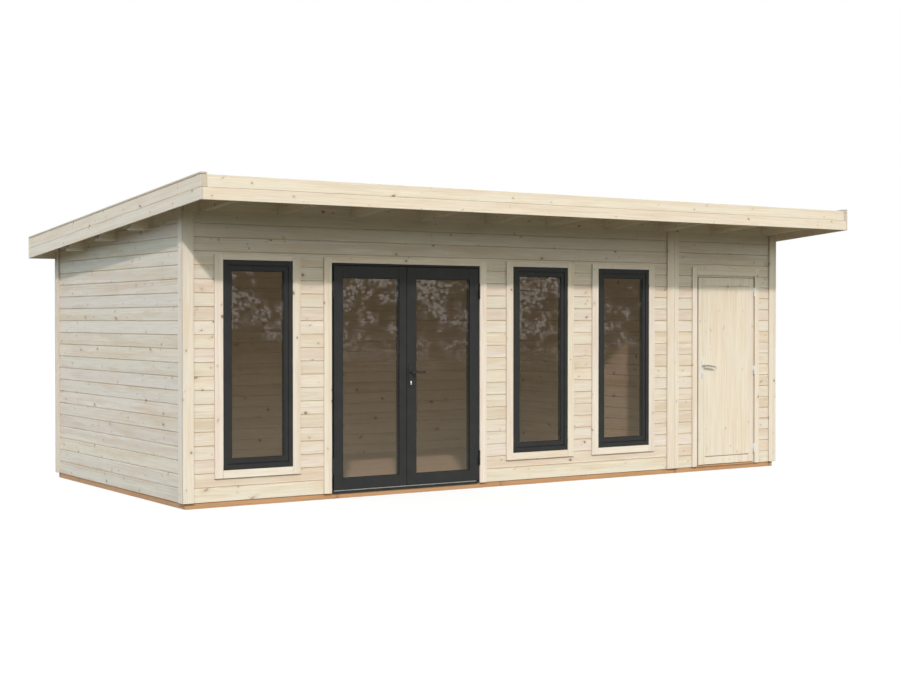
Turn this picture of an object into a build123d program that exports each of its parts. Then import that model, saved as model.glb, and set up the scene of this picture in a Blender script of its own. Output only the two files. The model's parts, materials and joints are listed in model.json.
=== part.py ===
from build123d import *
import math
import os

# Garden house of wall planks with a glazed double door, three tall windows, a store room
# behind a board door, and a shallow pent roof that rises towards the front.
# Millimetres. In the house frame X runs along the front from the outer face of the left wall,
# Y runs back from the outer face of the front wall and Z is up from the ground.

# Walls
WALL_DEPTH = 3060.0
WALL_THICKNESS = 44.0

# Along the front, from the left end: stretches of wall beside the openings
PIER_AT_LEFT_END = 340.0
PIER_BETWEEN_OPENINGS = 376.0
PIER_BEFORE_PARTITION = 319.0
PIER_AFTER_PARTITION = 326.0
PIER_AT_RIGHT_END = 290.0

# Base and floor
BASE_HEIGHT = 50.0
BASE_BEAM_WIDTH = 70.0
BASE_SETBACK = 10.0
FLOOR_JOIST_WIDTH = 45.0
FLOOR_JOIST_PITCH = 590.0
FLOOR_THICKNESS = 18.0

# Roof, measured from the bottom edge of the walls
ROOF_PITCH_DEG = 4.32
DECK_UNDERSIDE_AT_FRONT = 2517.5
DECK_THICKNESS = 19.0
FELT_THICKNESS = 3.0
FRONT_OVERHANG = 815.0
SIDE_OVERHANG = 215.0
BACK_OVERHANG = 215.0
FASCIA_BOARD_HEIGHT = 96.0
FASCIA_THICKNESS = 18.0
BATTEN_WIDTH = 36.0
CAP_WIDTH = 54.0
CAP_THICKNESS = 17.0
PURLIN_COUNT = 3
PURLIN_WIDTH = 95.0
PURLIN_DEPTH = 203.0
JOIST_COUNT = 10
JOIST_WIDTH = 45.0
JOIST_DEPTH = 145.0
JOIST_INSET = 144.5
EDGE_RAIL_WIDTH = 45.0
EDGE_RAIL_DEPTH = 120.0

# Trim boards
TRIM_THICKNESS = 18.0
CORNER_TRIM_WIDTH = 98.0
COVER_WIDE_WIDTH = 90.0
COVER_NARROW_WIDTH = 58.0
BOARD_JOINT = 0.4

# Windows: what shows between the casing boards, above the bottom edge of the walls
WINDOW_WIDTH = 642.0
WINDOW_HEAD = 1989.0
WINDOW_FOOT = 254.0
WINDOW_CASING_SIDE = 75.0
WINDOW_CASING_TOP = 44.0
WINDOW_CASING_FOOT = 66.0
WINDOW_FRAME_FACE = 40.0
WINDOW_FRAME_DEPTH = 60.0
WINDOW_STOP_FACE = 14.0
SASH_FACE = 38.0
SASH_DEPTH = 48.0
SASH_STAND = 12.0
SASH_FOOT_GAP = 11.0
SASH_HEAD_GAP = 9.0
FRAME_LAP = 12.0
FRAME_PLAY = 3.0

# Glazing: two panes with a gap, set back a little behind the face of the sash or leaf
GLASS_REVEAL = 10.0
PANE_THICKNESS = 4.0
PANE_GAP = 8.0
GLASS_BITE = 12.0

# Doorways: what shows between the casing boards
DOUBLE_DOOR_WIDTH = 1549.0
STORE_DOOR_WIDTH = 812.0
DOUBLE_DOOR_HEAD = 1985.0
STORE_DOOR_HEAD = 1948.0
DOUBLE_CASING_SIDE = 74.0
STORE_CASING_SIDE = 62.0
DOUBLE_CASING_TOP = 44.0
STORE_CASING_TOP = 81.0
JAMB_FACE = 18.0
JAMB_DEPTH = 66.0
STOP_FACE = 17.0
STOP_DEPTH = 16.0
DOUBLE_THRESHOLD_HEIGHT = 14.0
STORE_THRESHOLD_HEIGHT = 10.0
THRESHOLD_LIP = 7.0
THRESHOLD_OVERHANG = 4.0
STRIP_THICKNESS = 6.0
STRIP_SETBACK = 2.0
STRIP_INSET = 11.0

# Door leaves
LEAF_GAP = 5.0
LEAF_STAND = 12.0
LEAF_THICKNESS = 56.0
DOUBLE_LEAF_FOOT = 25.0
STORE_LEAF_FOOT = 17.0
OUTER_STILE = 89.0
PASSIVE_MEETING_STILE = 75.0
ACTIVE_MEETING_STILE = 98.0
MEETING_LINE_OFFSET = 13.0
LEAF_FOOT_RAIL = 96.0
LEAF_TOP_RAIL = 103.0
MEETING_BEVEL = 5.0

# Board door of the store room
STORE_LOCK_STILE = 92.0
STORE_HINGE_STILE = 66.0
STORE_TOP_RAIL = 84.0
STORE_FOOT_RAIL = 76.0
PANEL_THICKNESS = 20.0
PANEL_BACK_THICKNESS = 18.0
PANEL_TOP_GROOVE = 3.0
PANEL_FOOT_GROOVE = 8.0

# Hinges
DOUBLE_HINGE_COUNT = 2
DOUBLE_HINGE_INSET = 207.0
DOUBLE_HINGE_KNUCKLE = 68.0
STORE_HINGE_COUNT = 3
STORE_HINGE_INSET = 140.0
STORE_HINGE_KNUCKLE = 45.0
HINGE_GAP = 1.0
HINGE_RADIUS = 8.0
HINGE_END_CHAMFER = 1.5
PIN_RADIUS = 4.0
PIN_CLEARANCE = 0.3
DOUBLE_HINGE_PLATE = 34.0
STORE_HINGE_PLATE = 8.0
HINGE_FRAME_PLATE = 15.0
HINGE_STEM = 8.0
HINGE_PLATE_THICKNESS = 2.5
HINGE_AXIS_OUT = 20.0
HINGE_AXIS_SIDE = 14.0

# Lever handles
LEVER_HEIGHT = 1028.0
DOUBLE_LOCK_BACKSET = 36.0
STORE_LOCK_BACKSET = 56.0
LOCK_PLATE_WIDTH = 42.0
LOCK_PLATE_HEIGHT = 210.0
LOCK_PLATE_THICKNESS = 6.0
LOCK_PLATE_CORNER = 10.0
LOCK_PLATE_EASING = 1.5
LOCK_PLATE_DROP = 30.0
LEVER_NECK_RADIUS = 9.0
LEVER_NECK_LENGTH = 42.0
LEVER_BEND_RADIUS = 14.0
LEVER_LENGTH = 132.0
LEVER_DROOP = 14.0
LEVER_DROOP_START = 40.0
LEVER_DROOP_RADIUS = 90.0
LEVER_END_EASING = 4.0
SPINDLE_SIDE = 8.0
SPINDLE_HOLE_RADIUS = 8.0
LEVER_CLEARANCE = 0.5
CYLINDER_DROP = 94.0
CYLINDER_RADIUS = 9.0
CYLINDER_STAND = 3.0

# Worked out from the above
SLOPE = math.tan(math.radians(ROOF_PITCH_DEG))
WALL_BOTTOM = BASE_HEIGHT
FLOOR_TOP = BASE_HEIGHT + FLOOR_THICKNESS
WINDOW_1_LEFT = PIER_AT_LEFT_END
DOUBLE_DOOR_LEFT = WINDOW_1_LEFT + WINDOW_WIDTH + PIER_BETWEEN_OPENINGS
WINDOW_2_LEFT = DOUBLE_DOOR_LEFT + DOUBLE_DOOR_WIDTH + PIER_BETWEEN_OPENINGS
WINDOW_3_LEFT = WINDOW_2_LEFT + WINDOW_WIDTH + PIER_BETWEEN_OPENINGS
PARTITION_CENTRE = WINDOW_3_LEFT + WINDOW_WIDTH + PIER_BEFORE_PARTITION
STORE_DOOR_LEFT = PARTITION_CENTRE + PIER_AFTER_PARTITION
WALL_LENGTH = STORE_DOOR_LEFT + STORE_DOOR_WIDTH + PIER_AT_RIGHT_END
WINDOW_CENTRES = [left + WINDOW_WIDTH / 2 for left in (WINDOW_1_LEFT, WINDOW_2_LEFT, WINDOW_3_LEFT)]
DOUBLE_DOOR_CENTRE = DOUBLE_DOOR_LEFT + DOUBLE_DOOR_WIDTH / 2
STORE_DOOR_CENTRE = STORE_DOOR_LEFT + STORE_DOOR_WIDTH / 2
ROOF_LEFT = -SIDE_OVERHANG
ROOF_RIGHT = WALL_LENGTH + SIDE_OVERHANG
ROOF_FRONT = -FRONT_OVERHANG
ROOF_BACK = WALL_DEPTH + BACK_OVERHANG
PARTITION_LEFT = PARTITION_CENTRE - WALL_THICKNESS / 2
PARTITION_RIGHT = PARTITION_CENTRE + WALL_THICKNESS / 2
INNER_BACK = WALL_DEPTH - WALL_THICKNESS
INNER_RIGHT = WALL_LENGTH - WALL_THICKNESS
PURLIN_PITCH = WALL_DEPTH / (PURLIN_COUNT + 1)
FIRST_PURLIN_FRONT = PURLIN_PITCH - PURLIN_WIDTH / 2
JOIST_PITCH = (WALL_LENGTH - 2 * JOIST_INSET - JOIST_WIDTH) / (JOIST_COUNT - 1)
FASCIA_HEIGHT = 2 * FASCIA_BOARD_HEIGHT
GLASS_UNIT = 2 * PANE_THICKNESS + PANE_GAP
LEAF_FRONT = -LEAF_STAND
LEAF_BACK = LEAF_FRONT + LEAF_THICKNESS
SASH_FRONT = -SASH_STAND
SASH_BACK = SASH_FRONT + SASH_DEPTH
HINGE_AXIS_Y = -HINGE_AXIS_OUT
LEVER_Z = WALL_BOTTOM + LEVER_HEIGHT
HOUSE_TO_PART = Pos(-WALL_LENGTH / 2, -(ROOF_FRONT + ROOF_BACK) / 2, 0)

nodes = {}


def keep(name, *solids):
    """Adds a named node made of one or more separate solids."""
    nodes[name] = [HOUSE_TO_PART * solid for solid in solids]


def block(x0, x1, y0, y1, z0, z1):
    """A box between two corners."""
    return Pos(x0, y0, z0) * Box(x1 - x0, y1 - y0, z1 - z0, align=(Align.MIN, Align.MIN, Align.MIN))


def cylinder_y(x, z, radius, y0, y1):
    """A round bar along Y."""
    return extrude(Plane.XZ.offset(-y0) * Pos(x, z) * Circle(radius), -(y1 - y0))


def cylinder_z(x, y, radius, z0, z1):
    """A round bar along Z."""
    return Pos(x, y, z0) * Cylinder(radius, z1 - z0, align=(Align.CENTER, Align.CENTER, Align.MIN))


def side_prism(x0, x1, *points):
    """A solid between two X planes, from an outline of (Y, Z) points."""
    return extrude(Plane.YZ.offset(x0) * make_face(Polyline(*points, close=True)), x1 - x0)


def plan_prism(z0, z1, *points):
    """An upright solid between two heights, from an outline of (X, Y) points."""
    return extrude(Plane.XY.offset(z0) * make_face(Polyline(*points, close=True)), z1 - z0)


def ring(x0, x1, y0, y1, z0, z1, side, foot, head):
    """An upright frame of four members in the plane of the front wall."""
    outer = block(x0, x1, y0, y1, z0, z1)
    return outer - block(x0 + side, x1 - side, y0, y1, z0 + foot, z1 - head)


def deck_underside(y):
    """Height of the underside of the roof boards at depth y."""
    return WALL_BOTTOM + DECK_UNDERSIDE_AT_FRONT - SLOPE * y


def roof_layer(x0, x1, y0, y1, low, high):
    """A slab that follows the roof, between two heights over the underside of its boards."""
    return side_prism(
        x0, x1,
        (y0, deck_underside(y0) + low),
        (y1, deck_underside(y1) + low),
        (y1, deck_underside(y1) + high),
        (y0, deck_underside(y0) + high),
    )


def under_roof(x0, x1, y0, y1, z0):
    """A piece that stands on z0 and is cut to the roof slope at its top."""
    return side_prism(x0, x1, (y0, z0), (y1, z0), (y1, deck_underside(y1)), (y0, deck_underside(y0)))


def purlin_fronts():
    """Depths of the front faces of the purlins."""
    return [PURLIN_PITCH * (i + 1) - PURLIN_WIDTH / 2 for i in range(PURLIN_COUNT)]


def joist_lefts():
    """Positions of the left faces of the joists of the front overhang."""
    return [JOIST_INSET + JOIST_PITCH * i for i in range(JOIST_COUNT)]


def window_hole(centre):
    """The opening that a window frame stands in, with a little play all round."""
    half = WINDOW_WIDTH / 2 + FRAME_LAP + FRAME_PLAY
    foot = WALL_BOTTOM + WINDOW_FOOT - FRAME_LAP - FRAME_PLAY
    head = WALL_BOTTOM + WINDOW_HEAD + FRAME_LAP + FRAME_PLAY
    return block(centre - half, centre + half, 0, WALL_THICKNESS, foot, head)


def doorway_sides(centre, width):
    """Left and right ends of the gap in the wall planks at a doorway."""
    half = width / 2 + FRAME_LAP + FRAME_PLAY
    return centre - half, centre + half


# Base frame and floor

def build_base():
    """Base beams on the ground, floor joists between them and the floor boards on top."""
    left = BASE_SETBACK
    right = WALL_LENGTH - BASE_SETBACK
    front = BASE_SETBACK
    back = WALL_DEPTH - BASE_SETBACK
    inner_front = front + BASE_BEAM_WIDTH
    inner_back = back - BASE_BEAM_WIDTH
    keep("base_front_beam", block(left, right, front, inner_front, 0, BASE_HEIGHT))
    keep("base_back_beam", block(left, right, inner_back, back, 0, BASE_HEIGHT))
    keep(
        "base_end_beams",
        block(left, left + BASE_BEAM_WIDTH, inner_front, inner_back, 0, BASE_HEIGHT),
        block(right - BASE_BEAM_WIDTH, right, inner_front, inner_back, 0, BASE_HEIGHT),
    )
    joists = []
    half = FLOOR_JOIST_WIDTH / 2
    for room_left, room_right, last in ((left, PARTITION_CENTRE, 0), (PARTITION_CENTRE, right, 1)):
        bays = max(1, round((room_right - room_left) / FLOOR_JOIST_PITCH))
        pitch = (room_right - room_left) / bays
        for i in range(1, bays + 1 - last):
            x = room_left + pitch * i
            joists.append(block(x - half, x + half, inner_front, inner_back, 0, BASE_HEIGHT))
    keep("floor_joists", *joists)
    keep(
        "floor_boards",
        block(WALL_THICKNESS, PARTITION_LEFT, WALL_THICKNESS, INNER_BACK, BASE_HEIGHT, FLOOR_TOP),
        block(PARTITION_RIGHT, INNER_RIGHT, WALL_THICKNESS, INNER_BACK, BASE_HEIGHT, FLOOR_TOP),
    )


# Walls

def build_walls():
    """Outer walls, split beside and over the doorways, and the partition of the store room."""
    main_left, main_right = doorway_sides(DOUBLE_DOOR_CENTRE, DOUBLE_DOOR_WIDTH)
    store_left, store_right = doorway_sides(STORE_DOOR_CENTRE, STORE_DOOR_WIDTH)
    plate = deck_underside(0) - JOIST_DEPTH
    over = WALL_BOTTOM + FRAME_LAP + FRAME_PLAY

    def front_wall(x0, x1, z0):
        top = deck_underside(WALL_THICKNESS) - JOIST_DEPTH
        return side_prism(x0, x1, (0, z0), (WALL_THICKNESS, z0), (WALL_THICKNESS, top), (0, plate))

    left_piece = front_wall(0, main_left, WALL_BOTTOM) - window_hole(WINDOW_CENTRES[0])
    middle_piece = front_wall(main_right, store_left, WALL_BOTTOM)
    for centre in WINDOW_CENTRES[1:]:
        middle_piece -= window_hole(centre)
    keep("front_wall_left", left_piece)
    keep("front_wall_over_double_door", front_wall(main_left, main_right, over + DOUBLE_DOOR_HEAD))
    keep("front_wall_middle", middle_piece)
    keep("front_wall_over_store_door", front_wall(store_left, store_right, over + STORE_DOOR_HEAD))
    keep("front_wall_right", front_wall(store_right, WALL_LENGTH, WALL_BOTTOM))
    blocks = []
    edges = [0.0]
    for x in joist_lefts():
        edges += [x, x + JOIST_WIDTH]
    edges.append(WALL_LENGTH)
    for x0, x1 in zip(edges[::2], edges[1::2]):
        blocks.append(roof_layer(x0, x1, 0, WALL_THICKNESS, -JOIST_DEPTH, 0))
    keep("eaves_blocks", *blocks)
    keep("back_wall", under_roof(0, WALL_LENGTH, INNER_BACK, WALL_DEPTH, WALL_BOTTOM))

    def cross_wall(x0, x1):
        wall = under_roof(x0, x1, WALL_THICKNESS, INNER_BACK, WALL_BOTTOM)
        for y in purlin_fronts():
            wall -= roof_layer(x0, x1, y, y + PURLIN_WIDTH, -PURLIN_DEPTH, 0)
        return wall

    keep("left_wall", cross_wall(0, WALL_THICKNESS))
    keep("right_wall", cross_wall(INNER_RIGHT, WALL_LENGTH))
    keep("partition_wall", cross_wall(PARTITION_LEFT, PARTITION_RIGHT))


# Boards over the wall joints

def build_trims():
    """Corner boards, and the cover boards where the partition meets the long walls."""
    out = TRIM_THICKNESS
    wide = CORNER_TRIM_WIDTH
    front_top = deck_underside(0) - JOIST_DEPTH
    pairs = []
    for side in (0, 1):
        face = (-out, wide - out) if side == 0 else (WALL_LENGTH + out - wide, WALL_LENGTH + out)
        edge = (-out, 0.0) if side == 0 else (WALL_LENGTH, WALL_LENGTH + out)
        front = block(face[0], face[1], -out, 0, WALL_BOTTOM, front_top)
        back = under_roof(face[0], face[1], WALL_DEPTH, WALL_DEPTH + out, WALL_BOTTOM)
        front_side = under_roof(edge[0], edge[1], BOARD_JOINT, wide - out, WALL_BOTTOM)
        back_side = under_roof(
            edge[0], edge[1], WALL_DEPTH + out - wide, WALL_DEPTH - BOARD_JOINT, WALL_BOTTOM)
        pairs.append((front, front_side, back, back_side))
    for name, boards in zip(("left", "right"), pairs):
        keep("front_" + name + "_corner_trim", boards[0], boards[1])
        keep("back_" + name + "_corner_trim", boards[2], boards[3])
    covers = []
    start = PARTITION_CENTRE - (COVER_WIDE_WIDTH + COVER_NARROW_WIDTH) / 2
    split = start + COVER_WIDE_WIDTH
    end = split + COVER_NARROW_WIDTH
    for x0, x1 in ((start, split - BOARD_JOINT), (split, end)):
        covers.append(block(x0, x1, -out, 0, WALL_BOTTOM, front_top))
        covers.append(under_roof(x0, x1, WALL_DEPTH, WALL_DEPTH + out, WALL_BOTTOM))
    keep("partition_cover_boards", *covers)


def casing_boards(centre, width, foot, head, side, top, sill):
    """Boards round an opening on the wall face; no sill board where sill is 0."""
    x0 = centre - width / 2
    x1 = centre + width / 2
    boards = [
        block(x0 - side, x0, -TRIM_THICKNESS, 0, foot - sill, head + top),
        block(x1, x1 + side, -TRIM_THICKNESS, 0, foot - sill, head + top),
        block(x0 + BOARD_JOINT, x1 - BOARD_JOINT, -TRIM_THICKNESS, 0, head, head + top),
    ]
    if sill:
        boards.append(block(x0 + BOARD_JOINT, x1 - BOARD_JOINT, -TRIM_THICKNESS, 0, foot - sill, foot))
    return boards


# Windows

def glass_panes(x0, x1, front, z0, z1):
    """The two panes of an insulating glass unit."""
    second = front + PANE_THICKNESS + PANE_GAP
    return [block(x0, x1, y, y + PANE_THICKNESS, z0, z1) for y in (front, second)]


def window_frame(x0, x1, foot, head):
    """Frame whose face lies flush with the casing boards, with a stop behind the sash."""
    lap = FRAME_LAP
    face = WINDOW_FRAME_FACE
    inner = face + WINDOW_STOP_FACE
    joint = BOARD_JOINT
    front = ring(
        x0 + joint, x1 - joint, -TRIM_THICKNESS, 0, foot + joint, head - joint,
        face - joint, face - joint, face - joint)
    middle = ring(
        x0 - lap, x1 + lap, 0, SASH_BACK, foot - lap, head + lap, face + lap, face + lap, face + lap)
    back = ring(
        x0 - lap, x1 + lap, SASH_BACK, WINDOW_FRAME_DEPTH, foot - lap, head + lap,
        inner + lap, inner + lap, inner + lap)
    return front + middle + back


def build_windows():
    """Fixed windows: frame, sash, glass and casing boards."""
    foot = WALL_BOTTOM + WINDOW_FOOT
    head = WALL_BOTTOM + WINDOW_HEAD
    frames = []
    sashes = []
    glass = []
    casings = []
    for centre in WINDOW_CENTRES:
        x0 = centre - WINDOW_WIDTH / 2
        x1 = centre + WINDOW_WIDTH / 2
        frames.append(window_frame(x0, x1, foot, head))
        sx0 = x0 + WINDOW_FRAME_FACE
        sx1 = x1 - WINDOW_FRAME_FACE
        sz0 = foot + WINDOW_FRAME_FACE + SASH_FOOT_GAP
        sz1 = head - WINDOW_FRAME_FACE - SASH_HEAD_GAP
        sash = ring(sx0, sx1, SASH_FRONT, SASH_BACK, sz0, sz1, SASH_FACE, SASH_FACE, SASH_FACE)
        inset = SASH_FACE - GLASS_BITE
        gx0, gx1, gz0, gz1 = sx0 + inset, sx1 - inset, sz0 + inset, sz1 - inset
        glass_front = SASH_FRONT + GLASS_REVEAL
        sash -= block(gx0, gx1, glass_front, glass_front + GLASS_UNIT, gz0, gz1)
        sashes.append(sash)
        glass += glass_panes(gx0, gx1, glass_front, gz0, gz1)
        casings += casing_boards(
            centre, WINDOW_WIDTH, foot, head, WINDOW_CASING_SIDE, WINDOW_CASING_TOP, WINDOW_CASING_FOOT)
    keep("window_frames", *frames)
    keep("window_sashes", *sashes)
    keep("window_glass", *glass)
    keep("window_casings", *casings)


# Doors

def door_frame(centre, width, head):
    """Jambs and head with a stop behind the leaf."""
    x0 = centre - width / 2
    x1 = centre + width / 2
    outer = block(x0 - FRAME_LAP, x1 + FRAME_LAP, 0, JAMB_DEPTH, WALL_BOTTOM, head + FRAME_LAP)
    outer -= block(x0 - FRAME_LAP, x1 + FRAME_LAP, WALL_THICKNESS, JAMB_DEPTH, WALL_BOTTOM, FLOOR_TOP)
    stop_y = JAMB_DEPTH - STOP_DEPTH
    clear = JAMB_FACE + STOP_FACE
    outer -= block(x0 + JAMB_FACE, x1 - JAMB_FACE, 0, stop_y, WALL_BOTTOM, head - JAMB_FACE)
    outer -= block(x0 + clear, x1 - clear, stop_y, JAMB_DEPTH, WALL_BOTTOM, head - clear)
    return outer


def threshold(centre, width, height):
    """Sill on the base beam, with a lip that hangs over the front edge of the beam."""
    x0 = centre - width / 2 + JAMB_FACE
    x1 = centre + width / 2 - JAMB_FACE
    top = WALL_BOTTOM + height
    low = WALL_BOTTOM - THRESHOLD_LIP
    lip_back = BASE_SETBACK - BOARD_JOINT
    return side_prism(
        x0, x1,
        (-THRESHOLD_OVERHANG, low),
        (lip_back, low),
        (lip_back, WALL_BOTTOM),
        (WALL_THICKNESS, WALL_BOTTOM),
        (WALL_THICKNESS, top),
        (-THRESHOLD_OVERHANG, top),
    )


def threshold_strip(centre, width):
    """Bright metal strip that the leaves close over, on top of the sill."""
    inset = JAMB_FACE + STRIP_INSET
    low = WALL_BOTTOM + DOUBLE_THRESHOLD_HEIGHT
    back = JAMB_DEPTH - STOP_DEPTH
    high = low + STRIP_THICKNESS
    return side_prism(
        centre - width / 2 + inset, centre + width / 2 - inset,
        (STRIP_SETBACK, low),
        (WALL_THICKNESS, low),
        (WALL_THICKNESS, FLOOR_TOP),
        (back, FLOOR_TOP),
        (back, high),
        (STRIP_SETBACK, high),
    )


def leaf_heights(foot, head):
    """Bottom and top of a door leaf."""
    return WALL_BOTTOM + foot, WALL_BOTTOM + head - JAMB_FACE - LEAF_GAP


def spindle_hole(x):
    """The hole through a leaf for the spindle of the levers."""
    return cylinder_y(x, LEVER_Z, SPINDLE_HOLE_RADIUS, LEAF_FRONT, LEAF_BACK)


def glazed_leaf(x0, x1, left_stile, right_stile, free_side):
    """Stiles and rails round the glass; the free edge is bevelled so that it swings past the other."""
    z0, z1 = leaf_heights(DOUBLE_LEAF_FOOT, DOUBLE_DOOR_HEAD)
    a = MEETING_BEVEL if free_side < 0 else 0
    b = MEETING_BEVEL if free_side > 0 else 0
    leaf = plan_prism(z0, z1, (x0, LEAF_FRONT), (x1, LEAF_FRONT), (x1 - b, LEAF_BACK), (x0 + a, LEAF_BACK))
    oz0 = z0 + LEAF_FOOT_RAIL
    oz1 = z1 - LEAF_TOP_RAIL
    leaf -= block(x0 + left_stile, x1 - right_stile, LEAF_FRONT, LEAF_BACK, oz0, oz1)
    gx0 = x0 + left_stile - GLASS_BITE
    gx1 = x1 - right_stile + GLASS_BITE
    gz0 = oz0 - GLASS_BITE
    gz1 = oz1 + GLASS_BITE
    glass_front = LEAF_FRONT + GLASS_REVEAL
    leaf -= block(gx0, gx1, glass_front, glass_front + GLASS_UNIT, gz0, gz1)
    return leaf, glass_panes(gx0, gx1, glass_front, gz0, gz1)


def hinge_barrel(x, z0, z1):
    """One knuckle of a hinge, with its outer end eased."""
    barrel = cylinder_z(x, HINGE_AXIS_Y, HINGE_RADIUS, z0, z1)
    return chamfer(barrel.edges().filter_by(GeomType.CIRCLE), HINGE_END_CHAMFER)


def hinge_heights(foot, head, count, inset):
    """Middles of the hinges of a leaf, from the lowest, which is the inset above its foot."""
    low, high = leaf_heights(foot, head)
    pitch = (high - low - 2 * inset) / (count - 1)
    return [low + inset + pitch * i for i in range(count)]


def hinge_halves(x, inward, heights, knuckle, leaf_plate):
    """Frame halves with their pins, and leaf halves; inward is the X direction towards the leaf."""
    frame_halves = []
    leaf_halves = []
    y = HINGE_AXIS_Y
    t = HINGE_PLATE_THICKNESS
    for z in heights:
        low = z - knuckle
        high = z + knuckle
        pin_top = high - HINGE_GAP - 2 * HINGE_END_CHAMFER
        frame_half = hinge_barrel(x, low, z)
        frame_half += cylinder_z(x, y, PIN_RADIUS, z, pin_top)
        half = HINGE_STEM / 2
        frame_half += block(x - half, x + half, y, 0, low + HINGE_STEM, z - HINGE_STEM)
        half = HINGE_FRAME_PLATE / 2
        frame_half += block(x - half, x + half, -t, 0, low, z)
        frame_halves.append(frame_half)
        plate_x = sorted((x, x + inward * (HINGE_AXIS_SIDE + leaf_plate)))
        z += HINGE_GAP
        leaf_half = hinge_barrel(x, z, high)
        leaf_half += block(plate_x[0], plate_x[1], LEAF_FRONT - t, LEAF_FRONT, z, high)
        leaf_half -= cylinder_z(x, y, PIN_RADIUS + PIN_CLEARANCE, z, pin_top + PIN_CLEARANCE)
        leaf_halves.append(leaf_half)
    return frame_halves, leaf_halves


def lock_plates(x):
    """Long back plates on both faces of a leaf, with the ends of the lock cylinder."""
    plates = []
    hole = LEVER_NECK_RADIUS + LEVER_CLEARANCE
    outline = Pos(x, LEVER_Z - LOCK_PLATE_DROP) * RectangleRounded(
        LOCK_PLATE_WIDTH, LOCK_PLATE_HEIGHT, LOCK_PLATE_CORNER)
    for face, out in ((LEAF_FRONT, -1), (LEAF_BACK, 1)):
        y0, y1 = sorted((face, face + out * LOCK_PLATE_THICKNESS))
        c0, c1 = sorted((face, face + out * (LOCK_PLATE_THICKNESS + CYLINDER_STAND)))
        plate = extrude(Plane.XZ.offset(-y0) * outline, -(y1 - y0))
        rim = plate.faces().sort_by(Axis.Y)[0 if out < 0 else -1].edges()
        plate = chamfer(rim, LOCK_PLATE_EASING)
        plate -= cylinder_y(x, LEVER_Z, hole, y0, y1)
        plate += cylinder_y(x, LEVER_Z - CYLINDER_DROP, CYLINDER_RADIUS, c0, c1)
        plates.append(plate)
    return plates


def lever(x, droop):
    """Outer and inner lever on one square spindle; the grips run level, or droop at their ends."""
    half = SPINDLE_SIDE / 2
    body = block(x - half, x + half, LEAF_FRONT, LEAF_BACK, LEVER_Z - half, LEVER_Z + half)
    for face, out in ((LEAF_FRONT, -1), (LEAF_BACK, 1)):
        tip = face + out * (LOCK_PLATE_THICKNESS + LEVER_NECK_LENGTH)
        corners = [(x, face, LEVER_Z), (x, tip, LEVER_Z)]
        radii = [LEVER_BEND_RADIUS]
        if droop:
            corners.append((x + LEVER_DROOP_START, tip, LEVER_Z))
            radii.append(LEVER_DROOP_RADIUS)
        corners.append((x + LEVER_LENGTH, tip, LEVER_Z - droop))
        path = FilletPolyline(*corners, radius=radii)
        section = Plane(origin=(x, face, LEVER_Z), z_dir=(0, out, 0)) * Circle(LEVER_NECK_RADIUS)
        grip = sweep(section, path=path)
        end = grip.faces().sort_by(Axis.X)[-1].edges()
        body += fillet(end, LEVER_END_EASING)
    return body


def leaf_span(centre, width):
    """Left and right edges of the space for the leaves between the jambs."""
    return centre - width / 2 + JAMB_FACE + LEAF_GAP, centre + width / 2 - JAMB_FACE - LEAF_GAP


def hinge_axis_x(edge, inward):
    """X of a hinge pin: beside the leaf, in front of the face of the jamb."""
    return edge - inward * HINGE_AXIS_SIDE


def build_double_door():
    """Two glazed leaves that open outward, with their frame, hinges, lock and lever."""
    x0, x1 = leaf_span(DOUBLE_DOOR_CENTRE, DOUBLE_DOOR_WIDTH)
    meeting_line = DOUBLE_DOOR_CENTRE - MEETING_LINE_OFFSET
    left_end = meeting_line - LEAF_GAP / 2
    right_start = meeting_line + LEAF_GAP / 2
    spindle_x = right_start + DOUBLE_LOCK_BACKSET
    left_leaf, left_glass = glazed_leaf(x0, left_end, OUTER_STILE, PASSIVE_MEETING_STILE, 1)
    right_leaf, right_glass = glazed_leaf(right_start, x1, ACTIVE_MEETING_STILE, OUTER_STILE, -1)
    heights = hinge_heights(DOUBLE_LEAF_FOOT, DOUBLE_DOOR_HEAD, DOUBLE_HINGE_COUNT, DOUBLE_HINGE_INSET)
    hinge = (heights, DOUBLE_HINGE_KNUCKLE, DOUBLE_HINGE_PLATE)
    left_frame_halves, left_leaf_halves = hinge_halves(hinge_axis_x(x0, 1), 1, *hinge)
    right_frame_halves, right_leaf_halves = hinge_halves(hinge_axis_x(x1, -1), -1, *hinge)
    head = WALL_BOTTOM + DOUBLE_DOOR_HEAD
    keep("double_door_frame", door_frame(DOUBLE_DOOR_CENTRE, DOUBLE_DOOR_WIDTH, head))
    keep("double_door_threshold", threshold(
        DOUBLE_DOOR_CENTRE, DOUBLE_DOOR_WIDTH, DOUBLE_THRESHOLD_HEIGHT))
    keep("double_door_threshold_strip", threshold_strip(DOUBLE_DOOR_CENTRE, DOUBLE_DOOR_WIDTH))
    keep("double_door_casing", *casing_boards(
        DOUBLE_DOOR_CENTRE, DOUBLE_DOOR_WIDTH, WALL_BOTTOM, head,
        DOUBLE_CASING_SIDE, DOUBLE_CASING_TOP, 0))
    keep("double_door_frame_hinges", *left_frame_halves, *right_frame_halves)
    keep("left_leaf", left_leaf)
    keep("left_leaf_glass", *left_glass)
    keep("left_leaf_hinges", *left_leaf_halves)
    keep("right_leaf", right_leaf - spindle_hole(spindle_x))
    keep("right_leaf_glass", *right_glass)
    keep("right_leaf_hinges", *right_leaf_halves)
    keep("right_leaf_lock_plates", *lock_plates(spindle_x))
    keep("right_leaf_lever", lever(spindle_x, 0))


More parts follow.
